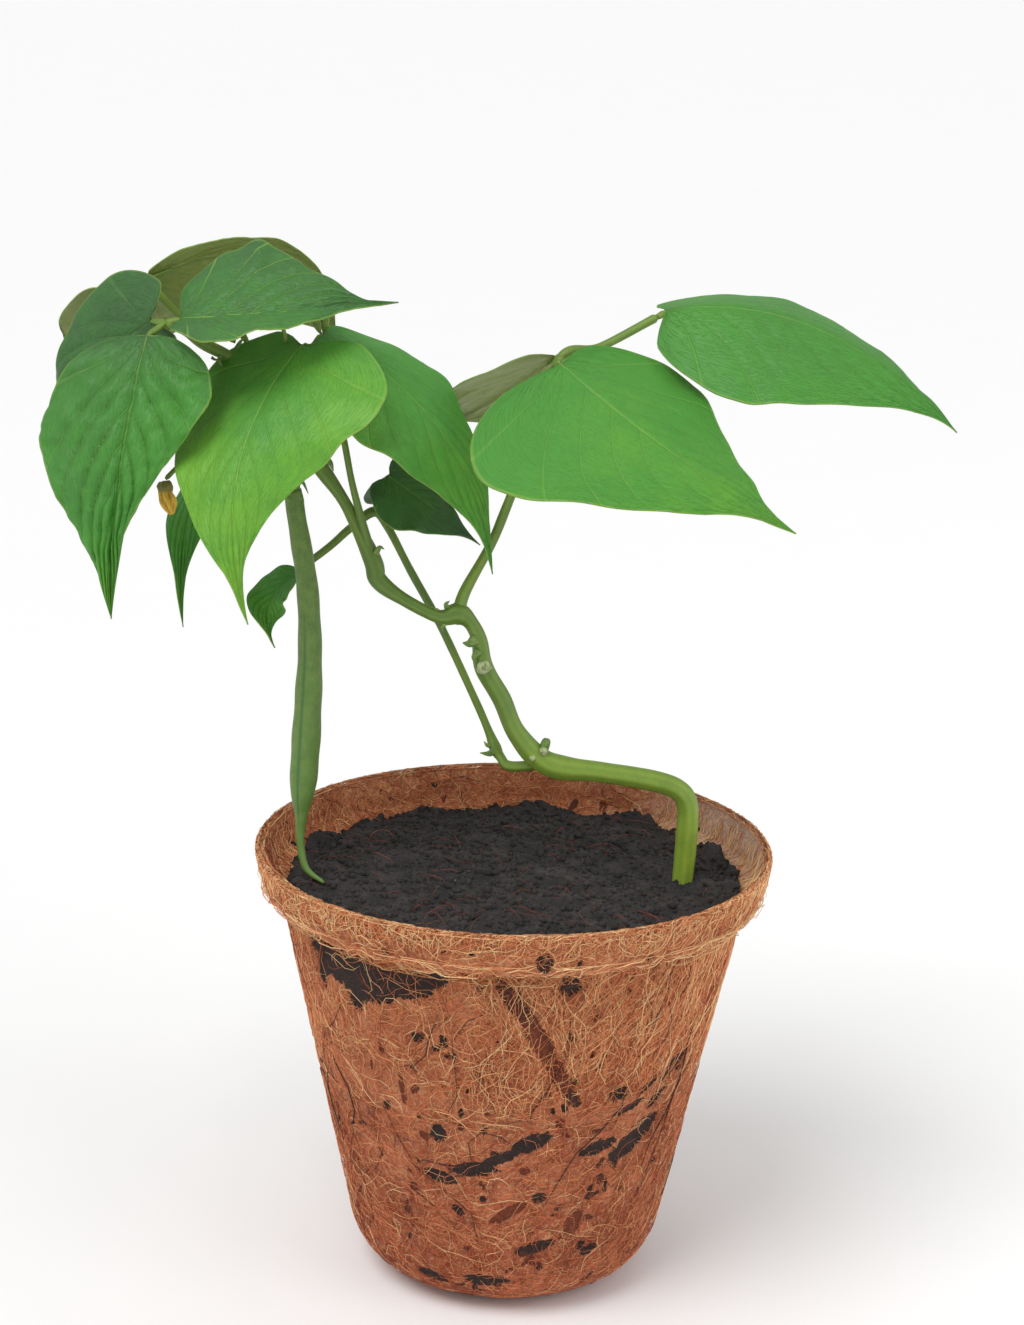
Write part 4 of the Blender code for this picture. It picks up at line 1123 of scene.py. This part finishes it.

# %% [markdown]
# ## Leaves
#
# A bean leaf has three leaflets. Each is a thin blade with a rounded base and a drawn-out tip.
# A subdivided plane pulled into shape by hand would do for one, but there are fifteen. So a
# blade is worked out from a few numbers: a curved midrib through three points, a half-width
# that is a sine up to the widest place and a power curve beyond it, a roll and a fold.
#
# Veins decide how a leaf catches the light. The two lowest side veins leave the base and reach
# half way up the margin, and the others follow them at even spaces. The same formula presses
# them into the mesh and draws them in the material.

# %% Leaf shapes
# A leaflet's first row says where it is: its stalk, that stalk's knot which carries it, and the
# plant points of its base, middle and tip. The second is its outline: left and right are
# half-widths in mm, looking from the stalk to the tip, and lobe and skew are in mm too. The
# third is its look: tone runs from deep green 0 to yellow-green 1, relief scales the veins'
# depth, pale their lightness, wave is how far the margin ripples, in mm, and the last number
# darkens the base and lightens the tip: partly the leaflet's own tone, partly painted shade.
LEAF_COLUMNS = (
    "stalk", "knot", "base", "middle", "tip",
    "left", "right", "roll", "fold", "widest", "taper", "lobe", "skew",
    "tone", "relief", "pale", "wave", "base_shade_and_tone")
LEAF_ROWS = {
    "right_leaf_end": (
        "right_petiole", -1, (-10.5, 11.0, 153.6), (28.2, 5.0, 151.2), (65.5, -3.0, 126.2),
        21, 28, 25, -25, 0.33, (2.0, 1.5), 5, 0,
        0.43, 0.4, 0.22, 0.4, 0.0),
    "right_leaf_front": (
        "right_petiole", 5, (-37.7, -7.0, 142.3), (-10.0, -26.0, 124.3), (21.7, -40.0, 106.9),
        28, 42, 20, -8, 0.25, (1.6, 1.7), 3, -4,
        0.52, 0.32, 0.18, 0.7, 0.6),
    "right_leaf_back": (
        "right_petiole", 5, (-38.6, 11.0, 141.0), (-54.5, 35.0, 124.9), (-72.7, 55.0, 111.6),
        24, 36, 8, -10, 0.32, (1.5, 2.0), 2, 0,
        0.45, 0.6, 0.4, 0.8, 0.0),
    "centre_leaf_front": (
        "centre_petiole", -1, (-103.6, -6.0, 145.0), (-118.0, -30.0, 116.1), (-114.3, -40.0, 79.7),
        31, 27, 0, -10, 0.2, (1.5, 1.9), 8, 3,
        0.66, 0.4, 0.22, 1.2, 0.8),
    "centre_leaf_right": (
        "centre_petiole", 4, (-99.1, 3.0, 146.3), (-67.9, -8.0, 124.0), (-53.6, -14.0, 87.9),
        16, 22, 20, -10, 0.35, (1.6, 1.8), 2, 0,
        0.52, 0.5, 0.25, 0.9, 0.5),
    "centre_leaf_left": (
        "centre_petiole", 4, (-109.6, 14.0, 140.9), (-135.3, 34.0, 99.5), (-137.5, 16.0, 63.2),
        14, 16, -20, -10, 0.32, (1.4, 2.0), 2, 0,
        0.5, 0.6, 0.3, 0.8, 0.2),
    "left_leaf_front": (
        "left_petiole", -1, (-143.2, -8.0, 146.6), (-148.7, -24.0, 113.9), (-150.1, -30.0, 77.5),
        21, 25, 0, -5, 0.3, (1.4, 2.1), 1, 7,
        0.36, 2.3, 0.2, 0.9, 1.2),
    "left_leaf_top": (
        "left_petiole", 3, (-135.2, -4.0, 150.7), (-110.5, -8.0, 153.8), (-79.0, -12.0, 157.5),
        25, 20, 24, 15, 0.38, (1.6, 2.0), 2, 0,
        0.2, 1.1, 0.6, 0.8, 0.2),
    "left_leaf_inner": (
        "left_petiole", -1, (-143.5, 2.0, 148.6), (-162.6, 8.0, 129.7), (-168.6, 10.0, 104.4),
        16, 19, -66, -5, 0.2, (1.6, 1.6), 8, 0,
        0.15, 0.9, 0.12, 0.7, 0.3),
    "top_leaf_back": (
        "top_petiole", 4, (-145.7, 19.0, 157.9), (-115.5, 32.0, 161.5), (-98.5, 44.0, 138.7),
        22, 7.5, -54, -10, 0.4, (2.4, 1.2), 2, 0,
        0.4, 0.6, 0.4, 0.6, 0.0),
    "top_leaf_side": (
        "top_petiole", 4, (-146.7, 22.0, 153.9), (-156.5, 38.0, 136.4), (-162.9, 44.0, 114.4),
        12, 14, 0, -8, 0.35, (1.5, 2.0), 1, 0,
        0.35, 0.6, 0.4, 0.6, 0.0),
    "top_leaf_far": (
        "top_petiole", -1, (-158.2, 21.0, 153.9), (-163.0, 48.0, 132.0), (-165.6, 57.0, 107.0),
        13, 10, 0, -8, 0.35, (1.6, 1.8), 2, 0,
        0.35, 0.6, 0.4, 0.6, 0.0),
    "lower_leaf_right": (
        "lower_petiole", 9, (-82.1, 9.0, 108.0), (-71.3, 8.0, 100.8), (-57.4, 12.0, 89.3),
        13, 12, 40, -8, 0.34, (1.6, 1.7), 3, 0,
        0.2, 0.3, 0.25, 0.6, 0.0),
    "lower_leaf_end": (
        "lower_petiole", -1, (-106.3, 16.0, 78.9), (-114.2, 14.0, 70.3), (-112.0, 10.0, 59.7),
        8, 8, -15, 10, 0.35, (1.5, 2.0), 1, 0,
        0.55, 0.4, 0.3, 0.5, 0.3),
    "lower_leaf_back": (
        "lower_petiole", 9, (-84.0, 21.0, 97.6), (-66.2, 38.0, 103.0), (-46.3, 50.0, 94.0),
        16, 16, 0, -8, 0.35, (1.5, 2.0), 2, 0,
        0.05, 0.7, 0.5, 0.6, 0.0),
}
LEAFLETS = {name: dict(zip(LEAF_COLUMNS, row)) for name, row in LEAF_ROWS.items()}
BLADE_THICKNESS = 0.32 * MM
STALK_HALF_WIDTH = 0.7 * MM
BLADE_ROWS, BLADE_COLUMNS = 110, 61
VEIN_REACH, VEIN_BEND, VEIN_SPACE = 0.52, 0.10, 0.125
BASE_VEINS = 1.6
TIP_SHARE = 0.65
print("leaflets:", len(LEAFLETS))


def half_width(v, widest, taper):
    """sin(90 degrees * sqrt(v / widest)) up to the widest place, then (1 - rest^a)^b.

    The last part of the tip is a wedge, so that it does not thin to a thread.
    """
    rounded = np.sin(math.pi / 2 * np.sqrt(np.clip(v / widest, 0, 1)))
    rest = np.clip((v - widest) / (1 - widest), 0, 1)
    drawn = np.maximum((1 - rest ** taper[0]) ** taper[1], TIP_SHARE * (1 - v))
    return np.where(v < widest, rounded, drawn)


def vein_count(u, v):
    """A number that is whole on every side vein.

    With across = |u|, a vein's line is v = start + reach * across - bend * across^2. Above the
    lowest pair the number is start / space. Below it, lines fan out from the blade's base.
    """
    across = np.abs(u)
    curve = VEIN_REACH * across - VEIN_BEND * across**2
    above = (v - curve) / VEIN_SPACE
    below = BASE_VEINS * (v - curve) / np.maximum(curve, 0.02)
    return np.where(v >= curve, above, below)


# %% Leaf surface
def blade_frame(leaf, rows):
    """Midrib points with their directions along, to the left, and out of the upper face."""
    base, middle, tip = (PLANT_FOOT + np.array(leaf[k]) * MM for k in ("base", "middle", "tip"))
    bend = 2 * middle - (base + tip) / 2
    v = np.linspace(0, 1, rows) ** 1.15
    t = v[:, None]
    midrib = (1 - t) ** 2 * base + 2 * t * (1 - t) * bend + t**2 * tip
    along = unit(2 * (1 - t) * (bend - base) + 2 * t * (tip - bend))
    face = unit(np.array((0.0, 0.0, 1.0)) - along * along[:, 2:3])
    left = np.cross(face, along)
    turn = math.radians(leaf["roll"])
    left, face = (math.cos(turn) * left + math.sin(turn) * face,
                  math.cos(turn) * face - math.sin(turn) * left)
    return v, midrib, along, left, face


def blade_surface(leaf):
    """The blade's middle surface as a grid of points, with its u, v and upward normals.

    u runs from -1 at the right margin to 1 at the left, and v from 0 at the base to 1 at the
    tip. The lobe carries both margins back beside the base, and the skew carries the left one
    back and the right one forward.
    """
    v, midrib, along, left, face = blade_frame(leaf, BLADE_ROWS)
    u = np.sin(np.linspace(-1, 1, BLADE_COLUMNS) * 1.25)[None, :] / math.sin(1.25)
    side = np.where(u > 0, leaf["left"], leaf["right"]) * MM
    width = half_width(v, leaf["widest"], leaf["taper"])[:, None] * side
    width = np.maximum(width, STALK_HALF_WIDTH * np.clip(1 - v / 0.08, 0.15, 1)[:, None])
    fold = math.radians(leaf["fold"]) * np.clip(width / (4 * MM) - 0.2, 0, 1)
    hinge = np.sqrt(u**2 + 0.006) - math.sqrt(0.006)
    near_base = np.clip(1 - v / 0.35, 0, 1) ** 2 * np.clip(v / 0.02, 0, 1) ** 0.5
    lobe = leaf["lobe"] * MM * near_base[:, None]
    skew = leaf["skew"] * MM * np.sin(math.pi * v)[:, None]
    ripple = (np.sin(2 * math.pi * (2.6 * v[:, None] + 0.21 * leaf["wave"]) + np.sign(u))
              + 0.5 * np.sin(2 * math.pi * 5.3 * v[:, None] + 2 * np.sign(u)))
    rippled = leaf["wave"] * MM * ripple * u**2 * np.clip(width / (8 * MM), 0, 1)
    lift = hinge * width * np.sin(fold) + rippled
    points = (midrib[:, None] + left[:, None] * (u * width * np.cos(fold))[..., None]
              + face[:, None] * lift[..., None]
              - along[:, None] * (lobe * u**2 + skew * u)[..., None])
    normal = unit(np.cross(np.gradient(points, axis=1), np.gradient(points, axis=0)))
    normal = normal * np.sign((normal * face[:, None]).sum(-1).mean())
    u, v = np.broadcast_arrays(u, v[:, None])
    return points, u, v, normal


def blade_relief(points, u, v, width_share):
    """Relief in mm: blisters between the veins, a pressed midrib, and fine wrinkles."""
    count = vein_count(u, v)
    blister = np.abs(np.sin(math.pi * count)) ** 0.6
    inner = np.clip(np.abs(u) / 0.15, 0, 1) * (1 - np.abs(u) ** 5)
    midrib = np.exp(-((u / 0.045) ** 2))
    wrinkle = 0.28 * noise(points, 3.2 * MM, 41) + 0.14 * noise(points, 1.5 * MM, 42)
    return (0.75 * blister * inner - 0.55 * midrib + wrinkle) * width_share


def add_leaf(name, leaf):
    """Upper and lower skins of one leaflet, joined round the margin into a thin closed blade.

    It is held inside the working model's box.
    """
    middle, u, v, normal = blade_surface(leaf)
    share = np.clip(np.sin(math.pi * np.clip(v, 0, 1)) * 1.6, 0, 1)
    relief = leaf["relief"] * blade_relief(middle, u, v, share) * MM
    middle = middle + normal * relief[..., None]
    rib = 0.55 * np.exp(-((u / 0.03) ** 2)) * (1 - v) * MM
    upper = middle + normal * (BLADE_THICKNESS / 2)
    lower = middle - normal * (BLADE_THICKNESS / 2 + rib)[..., None]
    rows, columns = u.shape
    size = rows * columns
    quads = grid_quads(rows, columns, closed=False)
    index = np.arange(size).reshape(rows, columns)
    rim = np.concatenate([index[0, :-1], index[:-1, -1], index[-1, :0:-1], index[:0:-1, 0]])
    after = np.roll(rim, -1)
    margin = np.stack([rim, rim + size, after + size, after], -1)
    points = np.concatenate([upper.reshape(-1, 3), lower.reshape(-1, 3)])
    points = np.clip(points, tuple(cad_low), tuple(cad_high))
    faces = np.concatenate([quads, quads[:, ::-1] + size, margin])
    piece = new_piece(f"{name}_blade", points, faces, [], GREEN_LEAF, replaces=[name])
    both_u, both_v = np.tile(u.ravel(), 2), np.tile(v.ravel(), 2)
    vertex_uv(piece, both_u / 2 + 0.5, both_v)
    # The drift darkens the base and lightens the tip by the last look number: partly the leaflet's own
    # tone, partly painted shade on the base.
    drift = 0.10 * noise(points, 22 * MM, 3) + 0.34 * (both_v - 0.4) * leaf["base_shade_and_tone"]
    paint(piece, tone=np.clip(leaf["tone"] + drift, 0, 1), pale=np.full(2 * size, leaf["pale"]),
          top=np.repeat((1.0, 0.0), size))


# %% [markdown]
# The leaf's finish starts from the stored tone, lightens along the veins and at the very
# margin, and turns to a duller olive on the lower skin. The vein formula is written once more
# here, in nodes, as a group, so that the drawn lines are as thin as real ones.

# %% Leaf finish
def vein_group():
    """Masks for side veins, midrib and margin from u and v, with the veins' count and |u|."""
    group, given, out = new_group("leaf_veins", [("UV", "NodeSocketVector", None)],
                                  ["Side", "Midrib", "Margin", "Count", "Across"])
    parts = node(group, "ShaderNodeSeparateXYZ", {0: given["UV"]}).outputs
    across = maths(group, "ABSOLUTE", maths(group, "MULTIPLY_ADD", parts["X"], 2.0, -1.0))
    squared = maths(group, "MULTIPLY", across, across)
    curve = maths(group, "SUBTRACT", maths(group, "MULTIPLY", across, VEIN_REACH),
                  maths(group, "MULTIPLY", squared, VEIN_BEND))
    over = maths(group, "SUBTRACT", parts["Y"], curve)
    above = maths(group, "DIVIDE", over, VEIN_SPACE)
    below = maths(group, "DIVIDE", maths(group, "MULTIPLY", over, BASE_VEINS),
                  maths(group, "MAXIMUM", curve, 0.02))
    is_above = maths(group, "GREATER_THAN", over, 0.0)
    count = maths(group, "ADD", maths(group, "MULTIPLY", above, is_above),
                  maths(group, "MULTIPLY", below, maths(group, "SUBTRACT", 1.0, is_above)))
    off = maths(group, "ABSOLUTE", maths(group, "SUBTRACT", count, maths(group, "ROUND", count)))
    made = {"Side": rise(group, off, 0.045, 0.008), "Midrib": rise(group, across, 0.022, 0.006),
            "Margin": rise(group, across, 0.970, 0.992), "Count": count, "Across": across}
    for label, value in made.items():
        group.links.new(value, out[label])
    return group


def leaf_finish():
    """Green by tone on the upper skin and olive on the lower, with paler veins and margin."""
    made, tree, shader, place = new_material("green_leaf")
    uv = node(tree, "ShaderNodeUVMap", uv_map="UVMap").outputs["UV"]
    vein = use_group(tree, VEINS, {"UV": uv})
    mottle = grain_of(tree, place, 150.0)
    tone = sway(tree, stored(tree, "tone"), mottle, 0.40)
    cross = node(tree, "ShaderNodeCombineXYZ", {0: maths(tree, "MULTIPLY", vein["Count"], 1.3),
                                                1: maths(tree, "MULTIPLY", vein["Across"], 17.0)})
    ladder = noise_value(tree, cross.outputs[0], 1.6, detail=2.5)
    rung = rise(tree, maths(tree, "ABSOLUTE", maths(tree, "SUBTRACT", ladder, 0.5)), 0.035, 0.006)
    upper = blend_colours(tree, rise(tree, tone, 0.0, 0.5),
                          rgb(0.045, 0.110, 0.040), rgb(0.064, 0.270, 0.032))
    upper = blend_colours(tree, rise(tree, tone, 0.45, 1.0), upper, rgb(0.205, 0.480, 0.030))
    upper = tint(tree, upper, rise(tree, mottle, 0.56, 0.68), 0.18, rgb(0.04, 0.20, 0.03))
    lines = maths(tree, "MAXIMUM", vein["Midrib"], maths(tree, "MULTIPLY", vein["Side"], 0.65))
    lines = maths(tree, "MAXIMUM", lines, maths(tree, "MULTIPLY", rung, 0.07))
    upper = tint(tree, upper, lines, stored(tree, "pale"), rgb(0.32, 0.56, 0.09))
    under = blend_colours(tree, mottle, rgb(0.190, 0.255, 0.060), rgb(0.290, 0.360, 0.090))
    under = tint(tree, under, lines, 0.45, rgb(0.34, 0.42, 0.13))
    colour = blend_colours(tree, stored(tree, "top"), under, upper)
    colour = tint(tree, colour, vein["Margin"], 0.3, rgb(0.36, 0.50, 0.08))
    set_surface(tree, shader, colour, 0.5, 0.35)
    height = maths(tree, "SUBTRACT", maths(tree, "MULTIPLY", mottle, 0.5),
                   maths(tree, "ADD", lines, maths(tree, "MULTIPLY", rung, 0.2)))
    add_bump(tree, shader, height, 0.0003, 0.85)
    return made


VEINS = vein_group()
GREEN_LEAF = leaf_finish()
print("finish:", GREEN_LEAF.name)

# %% Leaflets and their short stalks
LEAFLET_STALK = 0.72 * MM
UNDER_MIDRIB = 0.55 * MM


def add_leaflet_stalk(name, leaf):
    """The swollen joint between a leaf's stalk and a blade, run on under the midrib."""
    joint = np.array(STALKS[leaf["stalk"]][leaf["knot"]][:3])
    _, midrib, _, _, face = blade_frame(leaf, 20)
    under = (midrib - face * UNDER_MIDRIB - PLANT_FOOT) / MM
    half_way = (joint + under[0]) / 2
    knots = [(*joint, 1.0), (*half_way, 1.3), (*under[0], 1.0), (*under[2], 0.55)]
    add_stem(name, knots, LEAFLET_STALK, 12, 3, stalk_youth)


for leaf_name, leaf in LEAFLETS.items():
    add_leaf(leaf_name, leaf)
    add_leaflet_stalk(f"{leaf_name}_stalk", leaf)

# %% [markdown]
# ## The pod
#
# The pod hangs beside the stem and its thin beak just reaches the compost. It is rounder than
# it is flat, swells a little over each seed, and has a fine dark seam down the side that faces
# forward. Those are three small changes to the radius of a carried ring.

# %% Pod
POD = (
    (-106.7, 2.0, 105.2, 0.62), (-105.6, 1.5, 98.0, 0.68), (-104.5, 1.0, 91.9, 0.72),
    (-102.5, 0.0, 79.4, 0.78), (-101.6, -1.0, 63.8, 0.86), (-101.9, -2.0, 47.7, 1.0),
    (-102.6, -3.0, 31.8, 1.04), (-103.0, -4.5, 23.5, 0.86), (-103.2, -5.5, 17.5, 0.46),
    (-103.3, -7.0, 10.5, 0.3), (-101.5, -9.5, 4.0, 0.25), (-96.5, -12.0, 0.6, 0.12),
)
POD_TIP_FROM_WALL = 9.4 * MM
POD_SIDES = 36
SEEDS, SEEDED = 7, 0.8
SEAM_TURN, SEAM_WIDTH = 0.35, 0.10


def pod_rows():
    """The pod's way: below its stalk it leans by a growing share until its tip is in its place."""
    rows = plant_rows(POD, POD_RADIUS)
    shift = -(SOIL_RADIUS - POD_TIP_FROM_WALL) - rows[-1, 0]
    top = rows[0, 2]
    rows[:, 0] += shift * np.minimum(1, (top - rows[:, 2]) / (top - POT_HEIGHT))
    rows[-1, 2] = soil_level(rows[-1, 0], rows[-1, 1]) + rows[-1, 3] + 0.9 * MM
    return rows


def rise_above_foot(tree, place, low, high):
    """0 at the first height and 1 at the second, both in mm above the plant's foot."""
    height = node(tree, "ShaderNodeSeparateXYZ", {0: place}).outputs["Z"]
    return rise(tree, height, PLANT_FOOT[2] + low * MM, PLANT_FOOT[2] + high * MM)


def pod_finish():
    """Mid green with a fine downy grain, a dark seam, and a yellower beak."""
    made, tree, shader, place = new_material("green_pod")
    grain = grain_of(tree, place, 420.0)
    green = blend_colours(tree, rise(tree, grain, 0.35, 0.65),
                          rgb(0.085, 0.165, 0.028), rgb(0.140, 0.235, 0.042))
    beak = rise_above_foot(tree, place, 20.0, 4.0)
    green = tint(tree, green, beak, 0.5, rgb(0.15, 0.27, 0.05))
    lower = rise_above_foot(tree, place, 100.0, 20.0)
    green = tint(tree, green, lower, 0.35, rgb(0.13, 0.26, 0.05))
    green = tint(tree, green, stored(tree, "seam"), 0.75, rgb(0.030, 0.110, 0.035))
    set_surface(tree, shader, green, 0.55)
    add_bump(tree, shader, grain, 0.0002)
    return made


GREEN_POD = pod_finish()


def seam_mask(share, angle):
    """A bell curve round SEAM_TURN, fading out towards both ends of the pod."""
    away = (angle - SEAM_TURN + math.pi) % (2 * math.pi) - math.pi
    shown = np.clip((share - 0.28) / 0.1, 0, 1) * np.clip((0.86 - share) / 0.06, 0, 1)
    return np.exp(-((away / SEAM_WIDTH) ** 2)) * shown


def add_pod():
    """A carried ring: seeds swell its sides, the seam cuts in, and it is a little deeper than wide."""
    path = smooth_curve(pod_rows(), 0.8 * MM)
    share = np.linspace(0, 1, len(path))[:, None]
    angle = full_turn(POD_SIDES)[None, :]
    seam = seam_mask(share, angle)
    seeds = np.sin(2 * math.pi * SEEDS * share / SEEDED) * np.clip((SEEDED - share) / 0.1, 0, 1)
    section = (1 + 0.028 * seeds * np.abs(np.sin(angle)) - 0.045 * seam
               + 0.06 * np.cos(angle) ** 2)
    points, quads, ends = tube_along(path, POD_SIDES, lambda angle: section)
    pod = new_piece("pod", points, quads, ends, GREEN_POD, replaces=["bean_pod"])
    paint(pod, seam=seam)
    print("pod rings:", len(path))


add_pod()

# %% [markdown]
# ## Small growths
#
# The small things tell a real plant from a tidy one: pointed bracts where stalks leave the stem,
# the pale scar of a lost leaf, a cut stub, the hooked remains of the flower on top of the pod,
# and a withered yellow flower. Bracts are flattened thorns, and scars are short tubes whose
# ends are pale.

# %% Bracts
def grained_finish(name, scale, low, high, first, second, roughness, relief):
    """Two colours mixed by the grain, which is its relief too."""
    made, tree, shader, place = new_material(name)
    grain = grain_of(tree, place, scale)
    colour = blend_colours(tree, rise(tree, grain, low, high), first, second)
    set_surface(tree, shader, colour, roughness)
    add_bump(tree, shader, grain, relief)
    return made


# Each bract: base, middle, tip and half-width in mm.
BRACTS = {
    "stem_bract": ((-57.6, 0.5, 66.5), (-60.0, 0.0, 64.8), (-62.4, 0.0, 64.9), 1.5),
    "stem_hood": ((-56.8, -0.6, 63.5), (-58.4, -0.8, 61.0), (-57.6, -1.0, 59.0), 1.1),
    "fork_bud": ((-64.6, 0.5, 73.6), (-66.2, 0.3, 76.2), (-65.0, 0.0, 77.8), 0.9),
    "fork_scale": ((-67.5, 0.0, 73.4), (-68.8, -0.4, 74.6), (-70.2, -0.5, 74.2), 0.7),
    "fork_under": ((-65.8, -1.0, 70.6), (-67.0, -1.4, 69.6), (-66.4, -1.4, 67.8), 0.5),
    "lower_bract": ((-51.9, 7.0, 33.6), (-54.0, 6.6, 32.2), (-57.4, 6.4, 32.4), 1.1),
    "lower_hook": ((-52.6, 7.4, 34.6), (-54.6, 7.0, 34.8), (-55.8, 6.8, 36.4), 0.7),
    "joint_scale": ((-84.6, 0.2, 89.0), (-83.2, -0.2, 91.4), (-81.6, 0.0, 90.8), 0.8),
    "node_scale": ((-98.0, 2.8, 113.4), (-96.4, 2.0, 112.2), (-95.4, 2.0, 109.4), 0.9),
    "shoot_bract_up": ((-121.6, 3.6, 142.0), (-120.2, 2.8, 144.4), (-118.6, 2.6, 146.2), 0.6),
    "shoot_bract_side": ((-122.6, 3.6, 143.6), (-121.6, 3.0, 146.8), (-121.9, 3.0, 149.4), 0.7),
    "shoot_bract_down": ((-125.4, 1.4, 140.4), (-126.0, 1.0, 138.6), (-124.4, 0.8, 135.8), 0.6),
    "shoot_thorn": ((-127.8, 1.0, 139.9), (-126.2, 0.6, 139.2), (-122.4, 0.4, 139.6), 0.4),
    "top_wedge": ((-101.8, 7.0, 150.6), (-100.6, 6.6, 146.6), (-98.6, 6.6, 143.4), 1.0),
    "pod_hook": ((-106.2, 1.4, 105.6), (-103.6, 0.8, 108.4), (-101.2, 0.4, 104.2), 0.7),
    "pod_tooth": ((-105.2, 0.6, 103.4), (-103.8, 0.2, 103.2), (-103.0, 0.0, 101.4), 0.7),
    "pod_tooth_left": ((-107.8, 0.6, 105.0), (-108.8, 0.4, 104.0), (-108.6, 0.2, 102.4), 0.6),
}
BRACT_SIDES = 14
BRACT_REACH = 0.75
GREEN_BRACT = grained_finish("green_bract", 500.0, 0.35, 0.7, rgb(0.075, 0.17, 0.03),
                             rgb(0.24, 0.33, 0.08), 0.6, 0.0002)


def add_bract(name, base, middle, tip, width):
    """A thorn that narrows to its tip, twice as wide as it is deep, broad side to the viewer."""
    start = np.array(base)
    knots = [(*(start + BRACT_REACH * (np.array(place) - start)), share)
             for place, share in ((base, 1.1), (middle, 0.75), (tip, 0.1))]
    rows = smooth_curve(plant_rows(knots, width * MM), 0.25 * MM)
    points, quads, ends = tube_along(rows, BRACT_SIDES,
                                     lambda angle: 0.5 + 0.5 * np.abs(np.sin(angle))[None, :])
    new_piece(name, points, quads, ends, GREEN_BRACT)


for bract_name, bract in BRACTS.items():
    add_bract(bract_name, *bract)
print("bracts:", len(BRACTS))

# %% Scars and stub
# Each scar: where it starts and ends, its two radii in mm, its finish, and where ring angle 0 is.
PALE_SCAR = grained_finish("pale_scar", 700.0, 0.40, 0.56, rgb(0.17, 0.22, 0.08),
                           rgb(0.46, 0.52, 0.27), 0.8, 0.0004)
UPWARD, SIDEWAYS = (0.3, 0.1, 1.0), (1.0, 0.2, 0.1)
SCARS = {
    "leaf_scar": ((-54.9, 0.6, 58.9), (-56.0, -1.9, 58.8), 1.7, 1.6, PALE_SCAR, UPWARD),
    "stub": ((-39.3, 0.0, 34.8), (-38.0, -1.2, 39.4), 1.3, 1.1, GREEN_BRACT, SIDEWAYS),
    "stub_scar": ((-38.9, -1.6, 36.4), (-38.8, -2.9, 36.2), 1.1, 0.9, PALE_SCAR, SIDEWAYS),
    "lower_scar": ((-41.6, -2.0, 34.6), (-42.0, -3.2, 34.4), 0.9, 0.6, PALE_SCAR, SIDEWAYS),
    "calyx": ((-106.9, 2.1, 106.6), (-106.3, 1.8, 102.4), 1.75, 2.55, GREEN_BRACT, SIDEWAYS),
}
SCAR_SIDES = 20


def knobbly(angle):
    """A section with three broad and five narrow lumps round it."""
    return (1 + 0.07 * np.sin(3 * angle) + 0.05 * np.cos(5 * angle + 1))[None, :]


def add_scar(name, start, end, first, last, finish, facing):
    """A short knobbly tube that swells a little and narrows at its very end."""
    t = np.linspace(0, 1, 9)
    path = PLANT_FOOT + (np.outer(1 - t, start) + np.outer(t, end)) * MM
    thick = (first * (1 - t) + last * t + 0.12 * np.sin(math.pi * t)) * MM
    thick[-1] *= 0.82
    points, quads, ends = tubes(path[None], thick[None], np.array(facing), SCAR_SIDES, knobbly)
    new_piece(name, points, quads, ends, finish)


for scar_name, scar in SCARS.items():
    add_scar(scar_name, *scar)
print("scars:", len(SCARS))

# %% Withered flower
FLOWER = ((-139.2, -7.0, 108.6, 1.1), (-139.0, -7.1, 107.4, 1.7), (-138.8, -7.2, 105.4, 1.55),
          (-138.2, -7.4, 103.4, 1.7), (-137.8, -7.5, 101.6, 1.35), (-137.2, -7.5, 100.0, 0.5))
FLOWER_SIDES = 40


def petal_finish():
    """Wilted yellow petals: orange in the creases and olive where they leave the cup."""
    made, tree, shader, place = new_material("wilted_petal")
    grain = grain_of(tree, place, 600.0)
    yellow = blend_colours(tree, rise(tree, grain, 0.35, 0.65),
                           rgb(0.62, 0.36, 0.03), rgb(0.80, 0.55, 0.07))
    yellow = blend_colours(tree, stored(tree, "crease"), yellow, rgb(0.42, 0.17, 0.02))
    cup = rise_above_foot(tree, place, 105.2, 106.8)
    set_surface(tree, shader, blend_colours(tree, cup, yellow, rgb(0.22, 0.20, 0.05)), 0.7)
    add_bump(tree, shader, grain, 0.0003)
    return made


def folded(rows):
    """A section with five broad and nine fine folds, which wind round the flower."""
    turn = np.linspace(0, 1.8, rows)[:, None]
    return lambda angle: (1 + 0.20 * np.sin(5 * angle[None, :] + turn * 2)
                          + 0.09 * np.sin(9 * angle[None, :] - turn * 3))


def add_flower():
    """A folded ring carried along the flower. Its creases are where the folds go in."""
    path = smooth_curve(plant_rows(FLOWER, STALK_RADIUS), 0.25 * MM)
    section = folded(len(path))
    points, quads, ends = tube_along(path, FLOWER_SIDES, section)
    flower = new_piece("flower", points, quads, ends, petal_finish(),
                       replaces=["withered_flower"])
    folds = section(full_turn(FLOWER_SIDES))
    paint(flower, crease=np.clip((1.0 - folds) * 3, 0, 1))
    print("flower rings:", len(path))


add_flower()
